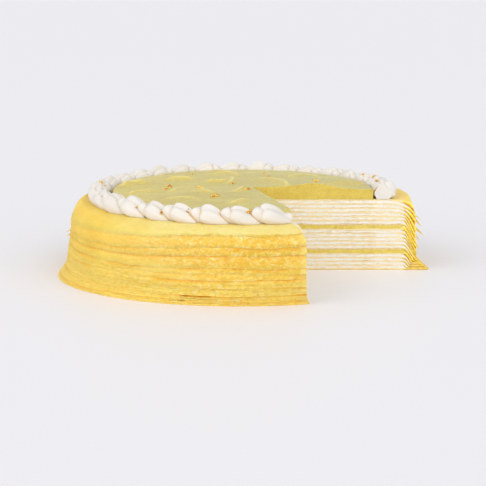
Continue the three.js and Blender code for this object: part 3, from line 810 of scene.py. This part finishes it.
def wall_looks(index, m, count, height):
    """The same for a crepe that shows on the side, whose wall starts after a count of hidden points."""
    crepe = stack[index]
    smooth = SMOOTH_LEFT * nearness(DEGREES[m], SMOOTH_PLACE) * rising(height, *SMOOTH_HEIGHTS)
    rough = np.concatenate([np.zeros(count - 1), 1 - smooth[:1], 1 - smooth])
    # The side near the cut and each lip get a painted highlight.
    near_cut_highlight = smoothstep((RAYS[m] - CAKE_ANGLE) / CUT_PALE + 1) * CUT_PALENESS
    lip_highlight_share = min(crepe["lip_step"][m] / PALE_STEP, 1) * (PALE_FOOT if index < PALE_FOOT_CREPES else 1)
    lip_highlight = np.clip(np.linspace(0, 1, len(height)) * 6 - 5, 0, 1) * lip_highlight_share
    edge = np.append(np.zeros(count), np.maximum(lip_highlight, near_cut_highlight))
    shade = np.clip(1 - (height[0] - height) / SHADE_DEPTH, 0, 1) * min(crepe["step"][m] / SHADE_STEP, 1)
    shaded = np.concatenate([np.full(count - 1, HIDDEN_SHADE), shade[:1], shade])
    return rough, edge, shaded, min(crepe["lip_step"][m], 1) * HIDDEN_SHADE


def crepe_piece(index, skin, section):
    """A crepe: its draped top, its wall on the side, its underside and its two cut edges."""
    bottom, top, _ = crepes[index]
    crepe = stack[index]
    wall_radii, wall_heights = wall_points(index)
    groove = GROOVE_SKIRT if index < SKIRT_CREPES else GROOVE_WALL
    tops, bottoms = [], []
    looks = {name: [0.0, 0.0] for name in ("rough", "edge", "shaded", "low", "crumbly", "outer")}
    for m, angle in enumerate(RAYS):
        at_cut = m in (0, len(RAYS) - 1)
        stops = CUT_STOPS if at_cut else TOP_STOPS if index == LAST else SKIN_STOPS
        under_stops = CUT_STOPS[:-1] if at_cut else np.append(UNDER_STOPS, groove)
        over_radii = INNER + (crepe["wall"][m] - INNER) * stops
        under_radii = INNER + (crepe["end"][m] - INNER) * under_stops
        over = np.interp(over_radii, RADII, crepe["over"][m])
        under = np.interp(under_radii, RADII, crepe["under"][m])
        if index == LAST:
            over = over + relief(CREASES, ARC[m], over_radii) * rising(over_radii, *CREASE_RADII)
        radii = np.concatenate([over_radii, wall_radii[m], [crepe["end"][m] + LIP_OUT]])
        heights = np.concatenate([over, wall_heights[m], [crepe["lip"][m] + LIP_THICKNESS * 0.5]])
        reach, height, radius = layer_row(index, OVER_SEED, m, top, radii, heights)
        low_reach, low, low_radius = layer_row(index, UNDER_SEED, m, bottom, under_radii, under)
        low = np.maximum(low, 0.0)
        tops.append(on_ray(angle + cut_shift(angle, radius, height), reach, height))
        bottoms.append(on_ray(angle + cut_shift(angle, low_radius, low), low_reach, low))
        count = len(height) - len(wall_heights[m]) - 1
        if index == LAST:
            rough, edge, shaded, low_shaded = top_looks(m, radius[:count])
        else:
            rough, edge, shaded, low_shaded = wall_looks(index, m, count, height[count:])
        crumbly = crumbly_at(DEGREES[m], height)
        for name, above, below in (("rough", rough, 1), ("edge", edge, 0), ("shaded", shaded, low_shaded),
                                   ("low", 0, 1), ("crumbly", crumbly, LEAST_CRUMBLY)):
            looks[name] += [*np.broadcast_to(above, len(height)), *[below] * len(low)]
        outer = rising(np.append(radius, low_radius), *BROWNED_RADII)
        looks["outer"] += [*np.maximum(outer, 0 if index else BROWNED_FOOT)]
    name = f"crepe_{index + 1:02d}"
    piece = sector_solid(f"{name}_draped", (top, bottom), tops, bottoms, [skin, section])
    looks["toasted"] = [0.0, 0.0] + [float(index in ABOVE_FILLINGS)] * (len(looks["low"]) - 2)
    for attribute, values in looks.items():
        point_attribute(piece, attribute, values)
    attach(piece, "root")
    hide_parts(name)
    return piece


# ------------------------------------------------------------------ creams and fillings
SPREAD_RAY_SKIP = 4
SPREAD_STOPS = np.array([0, 0.3, 0.5, 0.65, 0.76, 0.85, 0.92, 0.97, 1])
SPREAD_OVERLAP, SPREAD_RECESS = 0.05, 0.02


def spread_piece(name, layer, material):
    """What lies between two crepes, thinning out where they come together over the rim."""
    bottom, top, above = layer
    lower, upper = stack[above - 1], stack[above]
    last_ray = len(RAYS) - 1
    tops, bottoms = [], []
    for m in [*range(0, last_ray, SPREAD_RAY_SKIP), last_ray]:
        end = lower["wall"][m] - closing_of(above - 1)[1]
        radii = INNER + (end - INNER) * (CUT_STOPS if m in (0, last_ray) else SPREAD_STOPS)
        floor = np.interp(radii, RADII, lower["over"][m]) - SPREAD_OVERLAP
        roof = np.interp(radii, RADII, upper["under"][m]) + SPREAD_OVERLAP
        overlap = LAYER_GAP + SPREAD_OVERLAP
        reach, height, _ = layer_row(above, UNDER_SEED, m, top + overlap, radii, roof)
        reach, low, _ = layer_row(above - 1, OVER_SEED, m, bottom - overlap, radii, floor)
        height = np.maximum(height, low + 2 * SPREAD_OVERLAP)
        recess = {0: SPREAD_RECESS, last_ray: -SPREAD_RECESS}.get(m, 0)
        tops.append(on_ray(RAYS[m] + recess / reach, reach, height))
        bottoms.append(on_ray(RAYS[m] + recess / reach, reach, low))
    piece = sector_solid(f"{name}_spread", (top, bottom), tops, bottoms, [material])
    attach(piece, "root")
    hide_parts(name)
    return piece


# ------------------------------------------------------------------ the green top
GREEN_RINGS = np.concatenate([np.arange(9, 84, 0.9), np.arange(84, GREEN_RADIUS + 0.01, 0.4)])
GREEN_RAYS = np.linspace(0, CAKE_ANGLE, 420)
GREEN_EDGE, GREEN_EDGE_LIMIT = 1.6, 0.98
RIDGES = [
    # fainter lips: how high each is, how far it spreads to either side, and where it runs
    (1.3, 9, 3, [(-84, 3), (-80, 9), (-77, 20), (-72, 23), (-65, 21), (-57, 20)]),
    (1.3, 8, 3, [(-74, -32), (-72, -19), (-67, -16), (-61, -11), (-53, -13)]),
    (1.3, 9, 3, [(-30, 60), (-20, 56), (-15, 65), (-9, 66), (-6, 59), (-1, 46)]),
    (1.2, 7, 3, [(-9, -63), (-2, -53), (5, -49)]),
    (0.9, 7, 3, [(-53, -50), (-45, -42), (-40, -40), (-34, -42), (-24, -46)]),
    (1.0, 5, 3, [(-49, -21), (-45, -14), (-44, -5)]),
    (1.2, 8, 3, [(29, 43), (37, 54), (44, 60)]),
    (0.9, 8, 3, [(-27, 76), (-18, 78), (-11, 74), (-5, 64)]),
    (0.8, 7, 3, [(36, 61), (45, 56), (54, 46)]),
]
RIDGE_FADE, CREST_WIDTH, LARGEST_CREST = 0.3, 1.1, 40
SLOPE_SPAN, STEEP_CREAM = 0.5, 0.2
RIPPLES = [
    # size, then length and shift along x, length and shift along y, and seed
    (0.20, 11, 3, 11, 0, 40),
    (0.10, 4.5, 0, 3, 9, 41),
]


def stroke_height(stroke, x, y):
    """A stroke's height at a place, and how near it is to the stroke's crest."""
    cx, cy, radius, start, end, lip, width, falls = stroke
    off = np.hypot(x - cx, y - cy) - radius
    angle = (np.degrees(np.arctan2(y - cy, x - cx)) - start) % 360
    span = end - start
    fade = smoothstep(np.minimum(angle, span - angle) / (span * LIP_FADE)) * (angle <= span)
    across = np.where(off < 0, np.maximum(1 + off / width, 0) ** 2, 1 - smoothstep(off / falls))
    crest = fade * np.exp(-((off / CREST_WIDTH) ** 2))
    return lip * fade * across, crest * (radius < LARGEST_CREST)


def ridge_height(ridge, x, y):
    """A faint lip's height at a place, and how near it is to the lip's crest."""
    lip, near, far, line = ridge
    line = np.array(line, float)
    lengths = np.hypot(*np.diff(line, axis=0).T)
    starts = np.append(0, np.cumsum(lengths))
    nearest = np.full(np.shape(x), np.inf)
    along, side = np.zeros(np.shape(x)), np.ones(np.shape(x))
    for k, length in enumerate(lengths):
        (ax, ay), (dx, dy) = line[k], (line[k + 1] - line[k]) / length
        t = np.clip((x - ax) * dx + (y - ay) * dy, 0, length)
        away = np.hypot(x - ax - t * dx, y - ay - t * dy)
        closer = away < nearest
        nearest = np.where(closer, away, nearest)
        along = np.where(closer, (starts[k] + t) / starts[-1], along)
        side = np.where(closer, np.sign(dx * (y - ay) - dy * (x - ax)), side)
    fade = smoothstep(np.minimum(along, 1 - along) / RIDGE_FADE)
    across = np.where(side < 0, np.maximum(1 - nearest / near, 0) ** 1.8, 1 - smoothstep(nearest / far))
    return lip * fade * across, fade * np.exp(-((nearest / CREST_WIDTH) ** 2))


def green_height(x, y):
    """The height of the green cream's top, and how near a place is to the crest of a lip."""
    dome = GREEN_DOME * (1 - (x * x + y * y) / GREEN_RADIUS**2)
    strokes = [stroke_height(stroke, x, y) for stroke in STROKES]
    ridges = [ridge_height(ridge, x, y) for ridge in RIDGES]
    lips = np.max([height for height, _ in strokes], axis=0)
    faint = np.max([height for height, _ in ridges], axis=0)
    ripple = sum(size * noise(x / long + right, y / wide + back, seed)
                 for size, long, right, wide, back, seed in RIPPLES)
    crest = np.max([near for _, near in strokes + ridges], axis=0)
    return CREPE_TOP + GREEN_THICKNESS + dome + lips + faint + ripple, crest


def green_piece(skin, section):
    """The green cream on top, with the strokes and faint lips that a spatula left."""
    foot = CREPE_TOP + LAYER_GAP
    tops, bottoms = [], []
    crest, slope = [0.0, 0.0], [0.0, 0.0]
    edge = np.maximum(GREEN_RINGS - (GREEN_RADIUS - GREEN_EDGE), 0) / GREEN_EDGE
    rounding = GREEN_EDGE * (1 - np.sqrt(1 - np.minimum(edge, GREEN_EDGE_LIMIT) ** 2))
    for angle in GREEN_RAYS:
        points = place(angle, GREEN_RINGS, 0.0)
        x, y = points[:, 0], points[:, 1]
        height, near = green_height(x, y)
        rise = [green_height(x + SLOPE_SPAN, y)[0] - height, green_height(x, y + SLOPE_SPAN)[0] - height]
        points[:, 2] = height - rounding
        tops.append(points)
        bottoms.append(place(angle, np.array([GREEN_RADIUS / 2, GREEN_RADIUS]), foot))
        # crest: where the painted highlight along a lip's crest goes.
        crest += [*near, 0.0, 0.0]
        # slope: where the cream shows its own yellower colour instead of the painted sheen of the flats.
        slope += [*np.minimum(np.hypot(*rise) / SLOPE_SPAN / STEEP_CREAM, 1), 0.0, 0.0]
    tip = green_height(*(np.array([c]) for c in SLICE_POINT))[0][0]
    piece = sector_solid("green_top_swirled", (tip, foot), tops, bottoms, [skin, section])
    point_attribute(piece, "crest", crest)
    point_attribute(piece, "slope", slope)
    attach(piece, "root")
    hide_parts("green_top")
    return piece


# ------------------------------------------------------------------ the piped border
PETALS = [
    # along, out, up, long, wide, high, tilt, ridge
    (3.9, 2.6, 4.2, 6.0, 3.3, 3.6, 52, 0.0),
    (13.9, 3.8, 2.9, 9.4, 4.4, 5.0, 20, 0.03),
    (13.4, 0.2, 5.2, 9.6, 3.4, 4.2, 14, 0.24),
    (13.8, -2.9, 3.6, 9.8, 3.0, 4.6, 17, 0.05),
    (4.2, -2.0, 4.0, 5.6, 3.0, 3.4, 48, 0.0),
]
PETAL_RINGS, PETAL_SIDES = 22, 26
PETAL_HEAD, PETAL_TAIL, PETAL_GIRTH = 0.34, 0.85, 0.88
PETAL_GROOVES, PETAL_GROOVE, PETAL_UNEVEN = 6, 0.035, 0.1
TILT_UNEVEN, PLACE_UNEVEN = 4, 0.4
GIRTH_WAVE, GIRTH_LENGTH, GIRTH_TURN = 0.05, 1.6, 0.9
CORE_UP, CORE_SIZE, CORE_RINGS, CORE_SIDES = 2.2, 3.6, 300, 16
CORE_PAST_CUT = math.radians(12)
BORDER_END = CAKE_ANGLE - math.radians(1.9)
BORDER_SHARP = 34
PEAK_LENGTH, PEAK_HEIGHT, PEAK_RADIUS, PEAK_REACH = 7.5, 13.0, 92.0, 20
PEAK_WIDTHS = ([0, 0.25, 0.5, 0.7, 0.85, 1], [1.55, 1.1, 0.62, 0.38, 0.26, 0.22])
PEAK_INNER_WIDTH, PEAK_LEAN = 1.3, 1.5
FOOT_RADII = np.array([60, 84, 90, 95, 97, 99, 101, 103, 105, 107, 109.0])
FOOT_TURNS = 120
FAR, TALL = 400.0, 40


def petal_points(petal, size, seed):
    """A plump petal in the shell's own axes (along, out, up), blunt behind and tapered ahead."""
    along, out, up, long, wide, high, tilt, ridge = petal
    odd = [lattice(np.array(seed), np.array(n), 90) for n in range(5)]
    t = -np.cos(np.linspace(0, math.pi, PETAL_RINGS + 1))[1:-1, None]
    turn = around(PETAL_SIDES)
    ridged = ridge * np.maximum(np.sin(turn), 0) ** 6
    grooved = PETAL_GROOVE * np.cos(PETAL_GROOVES * turn + odd[0] * 3)
    girth = PETAL_GIRTH * (1 + t) ** PETAL_HEAD * (1 - t) ** PETAL_TAIL * (1 + ridged + grooved)
    girth = girth * (1 + GIRTH_WAVE * noise(t * GIRTH_LENGTH + seed, turn * GIRTH_TURN, 91))
    wide, high = wide * (1 + PETAL_UNEVEN * odd[1]), high * (1 + PETAL_UNEVEN * odd[2])
    rings = points_at(t * long, girth * np.cos(turn) * wide, girth * np.sin(turn) * high)
    points = np.concatenate([[(-long, 0, 0)], rings.reshape(-1, 3), [(long, 0, 0)]])
    angle = -math.radians(tilt + TILT_UNEVEN * odd[3])
    s = points[:, 0] * math.cos(angle) - points[:, 2] * math.sin(angle)
    u = points[:, 0] * math.sin(angle) + points[:, 2] * math.cos(angle)
    return np.stack([s + along / size + PLACE_UNEVEN * odd[4], points[:, 1] + out, u + up], -1) * size


def ring_point(azimuth, out, up):
    """A place beside the border's middle line, which runs round on the top crepe."""
    bulge = BULGE_OUT * nearness(np.degrees(azimuth), BULGE_PLACE)
    radius = BORDER_RADIUS * (1 + PLAN_UNEVEN * plan_wave(azimuth)) + bulge + out
    return points_at(radius * np.cos(azimuth), radius * np.sin(azimuth), CREPE_TOP + up)


def core_points():
    """The rope under the petals, which closes the gaps between them."""
    turns = np.linspace(-CORE_PAST_CUT, CAKE_ANGLE + CORE_PAST_CUT, CORE_RINGS)[:, None]
    sides = around(CORE_SIDES)
    rings = ring_point(turns, CORE_SIZE * np.cos(sides), CORE_UP + CORE_SIZE * np.sin(sides))
    ends = ring_point(turns[[0, -1]], 0, CORE_UP)
    return np.concatenate([ends[0], rings.reshape(-1, 3), ends[1]])


def petal_on_shell(kind, n):
    shape = petal_points(PETALS[kind], shell_sizes[n], 10 * n + kind)
    azimuth = math.radians(FIRST_HEAD + SHELL_PITCH * n) + shape[:, 0] / BORDER_RADIUS
    return ring_point(azimuth, shape[:, 1], shape[:, 2])


def foot_points():
    """What lies under the border: the top crepe's surface with its rounded shoulder."""
    turns, radii = around(FOOT_TURNS), FOOT_RADII[:, None]
    rim = radii * (1 + PLAN_UNEVEN * plan_wave(turns))
    level = CREPE_TOP + LAYER_GAP - fall(radii, 0) + puff(turns, radii)
    rings = points_at(rim * np.cos(turns), rim * np.sin(turns), level)
    rings = np.concatenate([rings, rings[-1:] * (1, 1, 0)])
    return np.concatenate([[(0, 0, CREPE_TOP + LAYER_GAP)], rings.reshape(-1, 3), [(0, 0, 0)]])


def wedge_points():
    """The missing slice, far wider and taller than the border."""
    angles, reaches = np.array([0, BORDER_END, 0]), np.array([0, FAR, FAR])
    low, high = (on_ray(angles, reaches, CREPE_TOP + z) for z in (-TALL, TALL))
    return np.concatenate([[low.mean(axis=0)], low, high, [high.mean(axis=0)]])


def border_piece(material):
    """The border: petals joined to a rope, cut level with the cake's cuts and to the top crepe."""
    piece = make_tubes("whipped_border_piped", [core_points()], CORE_SIDES, material)
    for kind in range(len(PETALS)):
        for parity in (0, 1):
            petals = [petal_on_shell(kind, n) for n in range(parity, SHELLS, 2)]
            combine(piece, petals, PETAL_SIDES, "UNION")
    combine(piece, [wedge_points()], 3, "DIFFERENCE")
    combine(piece, [foot_points()], FOOT_TURNS, "DIFFERENCE")
    peak_far_end(piece.data)
    finish_mesh(piece.data, [], BORDER_SHARP)
    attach(piece, "root")
    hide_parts("whipped_border")
    return piece


def peak_far_end(mesh):
    """Draws the border's end at the far cut up into a peak on a wide foot, as a piping tip leaves it."""
    points = np.empty(len(mesh.vertices) * 3)
    mesh.vertices.foreach_get("co", points)
    points = points.reshape(-1, 3) / MM
    near = 1 - rising(points[:, 1], SLICE_POINT[1], PEAK_LENGTH)
    near = near * (points[:, 0] > 0) * (np.abs(points[:, 1]) < PEAK_REACH)
    level = np.clip((points[:, 2] - CREPE_TOP) / PEAK_HEIGHT, 0, 1)
    away = points[:, 0] - PEAK_RADIUS
    width = np.interp(level, *PEAK_WIDTHS)
    width = np.where(away < 0, np.minimum(width, PEAK_INNER_WIDTH), width)
    points[:, 0] += near * (away * (width - 1) - PEAK_LEAN * level**2)
    mesh.vertices.foreach_set("co", (points * MM).ravel())
    mesh.update()


# ------------------------------------------------------------------ gold leaf
# Each scrap's angle round the cake, its distance from the axis, its length and its turn.
LEAF_ON_GREEN = [
    (177, 48.7, 4.4, 20), (188.7, 51.5, 3.2, 70), (120.4, 70.5, 2.4, 10), (199.5, 30.6, 4.2, 140),
    (244.5, 41, 6.4, 25), (120, 14, 3.6, 95), (283, 13, 4.4, 60), (77.4, 66.4, 2.8, 40),
    (69, 48.2, 2.8, 120), (28, 55.4, 4.4, 165),
]
LEAF_ON_BORDER = [
    (178, 94.2, 2.6, 0), (179, 91.5, 2.2, 40), (201.6, 97, 2.2, 80), (226.6, 96.5, 2.4, 10),
    (238.4, 96.5, 2.4, 60), (248.9, 94.5, 2.4, 30), (272.4, 94, 5.2, 30), (25.2, 90.3, 2.6, 50),
    (13.3, 90.3, 2.8, 120), (8.8, 90.5, 3.2, 15), (359.4, 87.2, 2.4, 60),
]
FLAKES_LEAST, FLAKE_SPREAD, FLAKE_TURN = 3, 0.38, 47
FLAKE_SHARES = (1, 0.6, 0.5)
FIRST_FLAKE, NEXT_FLAKES = 0.8, 0.5
FLAKE_FOLD, FLAKE_CURL, FLAKE_UP, LEAF_SHARP = 0.6, 0.16, 0.05, 25
ABOVE_ALL = 200


def flake(across, turn, seed):
    """A crumpled flake of gold leaf about the origin: its points and triangles."""
    body = bmesh.new()
    bmesh.ops.create_icosphere(body, subdivisions=3, radius=0.5)
    points = np.array([v.co for v in body.verts])
    faces = np.array([[v.index for v in face.verts] for face in body.faces])
    body.free()
    folds = noise(points[:, 0] * 5 + seed, points[:, 1] * 5 + points[:, 2] * 3, 70)
    points = points * (1 + FLAKE_FOLD * folds)[:, None] * across * FLAKE_SHARES
    points[:, 2] += FLAKE_CURL * across * noise(points[:, 0] * 3 + seed, points[:, 1] * 3, 71)
    x, y = points[:, 0].copy(), points[:, 1].copy()
    points[:, 0] = x * math.cos(turn) - y * math.sin(turn)
    points[:, 1] = x * math.sin(turn) + y * math.cos(turn)
    return points, faces


def leaf_piece(name, carrier, scraps, material):
    """Scraps of gold leaf, each a few flakes that lie on the piece that carries them."""
    tree = BVHTree.FromObject(carrier, bpy.context.evaluated_depsgraph_get())
    points, faces = [], []
    for k, (degrees, distance, length, turn) in enumerate(scraps):
        angle = math.radians(degrees)
        for f in range(FLAKES_LEAST + k % 3):
            odd = np.array([lattice(np.array(f), np.array(k), seed) for seed in (61, 62)])
            aside = FLAKE_SPREAD * length * odd * (f > 0)
            x, y = aside + (distance * math.cos(angle), distance * math.sin(angle))
            hit = tree.ray_cast(Vector((x, y, ABOVE_ALL)) * MM, Vector((0, 0, -1)))[0]
            if hit is None:
                continue
            across = length * (NEXT_FLAKES if f else FIRST_FLAKE)
            shape, cover = flake(across, math.radians(turn + FLAKE_TURN * f), 100 + 17 * k + f)
            faces.append(cover + len(shape) * len(points))
            points.append(shape + (x, y, hit.z / MM + FLAKE_UP))
    piece = make_object(name, np.concatenate(points), [np.concatenate(faces)], [material], sharp=LEAF_SHARP)
    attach(piece, "root")
    return piece


# ------------------------------------------------------------------ loose shreds of crepe
SHREDS = [
    # root, bend and tip as x, y, z, then the width
    [(112, 1, 37.4), (115.5, 0.5, 35.5), (118.0, 0, 33.4), 0.8],
    [(112, 2, 36.0), (115.5, 1.5, 32.0), (118.4, 1, 28.4), 1.4],
    [(113, 3, 29.0), (116.8, 2.5, 25.2), (120.2, 2, 22.2), 1.6],
    [(113, 2, 20.0), (115.4, 1, 16.4), (116.6, 0.5, 13.2), 1.2],
    [(113, 6, 24.0), (116.2, 5, 21.0), (117.8, 5, 18.0), 1.0],
    [(114, 4, 8.6), (118, 4, 4.6), (120.8, 4, 1.4), 1.6],
    [(-113, -8, 28.0), (-115.4, -8, 27.2), (-117.2, -8, 26.4), 0.7],
    [(-113, -10, 26.0), (-115.2, -10, 25.0), (-116.8, -10, 23.8), 0.9],
]
SHRED_RINGS, SHRED_SIDES, SHRED_THICKNESS = 14, 8, 0.45
SHRED_TAPER, SHRED_UNEVEN = 0.92, 0.25
SHRED_LOOKS = {"rough": 0.8, "crumbly": 0.6, "shaded": 0.1}


def shred_piece(material):
    """Torn edges of crepe that stick out of the side."""
    t = np.linspace(0, 1, SHRED_RINGS)[:, None]
    turn = around(SHRED_SIDES)[None, :, None]
    shapes = []
    for n, (root, bend, tip, width) in enumerate(SHREDS):
        root, bend, tip = (np.array(p, float) for p in (root, bend, tip))
        middle = root * (1 - t) ** 2 + 2 * bend * t * (1 - t) + tip * t**2
        ahead = np.gradient(middle, axis=0)
        ahead /= np.linalg.norm(ahead, axis=1, keepdims=True)
        flat = np.cross(ahead, (0, 1, 0))
        flat /= np.linalg.norm(flat, axis=1, keepdims=True)
        thin = np.cross(ahead, flat) * SHRED_THICKNESS
        size = width / 2 * (1 - t**2 * SHRED_TAPER) * (1 + SHRED_UNEVEN * noise(t * 4, n * 3.0, 80))
        across = np.cos(turn) * flat[:, None, :] + np.sin(turn) * thin[:, None, :]
        rings = middle[:, None, :] + across * size[:, None]
        shapes.append(np.concatenate([middle[:1], rings.reshape(-1, 3), middle[-1:]]))
    piece = make_tubes("crepe_shreds", shapes, SHRED_SIDES, material)
    for attribute, value in SHRED_LOOKS.items():
        point_attribute(piece, attribute, [value] * len(piece.data.vertices))
    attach(piece, "root")
    return piece


# ------------------------------------------------------------------ stage
SOFT_LIGHTS = [
    # name, strength and the way it shines
    ("left", 0.92, (0.75, 0.45, -0.45)),
    ("right", 1.02, (-0.45, 0.7, -0.6)),
    ("front", 0.63, (0.08, 1.0, -0.04)),
]
SOFTNESS, LIGHT_COLOUR = math.radians(60), (1.0, 0.985, 0.96)
SKY_COLOUR, SKY_STRENGTH = (0.97, 0.98, 1.0, 1), 0.71
FLOOR_COLOUR = (237, 236, 240)
FLOOR_CORNERS = [(-4000, -3000, 0), (4000, -3000, 0), (4000, 9000, 0), (-4000, 9000, 0)]
CAMERA_AT = Vector((-0.0001, -1.18178, 0.24275))
CAMERA_TARGET = Vector((-0.0001, -0.003, 0.0181))
CAMERA_LENS, SENSOR_WIDTH, CLIP_END = 134.0, 36, 30


def make_stage():
    look = Look("floor", 0.5, specular=0.3)
    look.set(look.shader, {"Base Color": FLOOR_COLOUR})
    floor = make_object("floor", FLOOR_CORNERS, [np.array([(0, 1, 2, 3)])], [look.material])
    world = bpy.data.worlds.new("studio")
    world.use_nodes = True
    background = world.node_tree.nodes["Background"]
    background.inputs["Color"].default_value = SKY_COLOUR
    background.inputs["Strength"].default_value = SKY_STRENGTH
    bpy.context.scene.world = world
    for name, strength, shines in SOFT_LIGHTS:
        sun = bpy.data.lights.new(name, "SUN")
        sun.energy = strength
        sun.angle = SOFTNESS
        sun.color = LIGHT_COLOUR
        lamp = bpy.data.objects.new(name, sun)
        lamp.rotation_euler = Vector(shines).to_track_quat("-Z", "Y").to_euler()
        bpy.context.scene.collection.objects.link(lamp)


def make_camera():
    data = bpy.data.cameras.new("camera")
    data.lens = CAMERA_LENS
    data.sensor_width = SENSOR_WIDTH
    data.clip_end = CLIP_END
    camera = bpy.data.objects.new("camera", data)
    camera.location = CAMERA_AT
    camera.rotation_euler = (CAMERA_TARGET - CAMERA_AT).to_track_quat("-Z", "Y").to_euler()
    bpy.context.scene.collection.objects.link(camera)
    bpy.context.scene.camera = camera


# ------------------------------------------------------------------ everything together
make_camera()
make_stage()
bpy.context.scene.view_settings.view_transform = "Standard"

skin, section = crepe_skin(), crepe_section()
cream_look = cream_material()
green_cut = green_section("green_cream_section", (209, 184, 79), (219, 196, 92))
filling_cut = green_section("green_filling_section", (222, 196, 84), (232, 208, 100))
gold_look = gold_material()

for index in range(len(crepes)):
    crepe_piece(index, skin, section)
for index, layer in enumerate(creams, 1):
    spread_piece(f"cream_{index:02d}", layer, cream_look)
for index, layer in enumerate(fillings, 1):
    spread_piece(f"green_filling_{index:02d}", layer, filling_cut)
green = green_piece(green_skin(), green_cut)
border = border_piece(whipped_material())
shred_piece(skin)
leaf_piece("gold_leaf_on_green", green, LEAF_ON_GREEN, gold_look)
leaf_piece("gold_leaf_on_border", border, LEAF_ON_BORDER, gold_look)
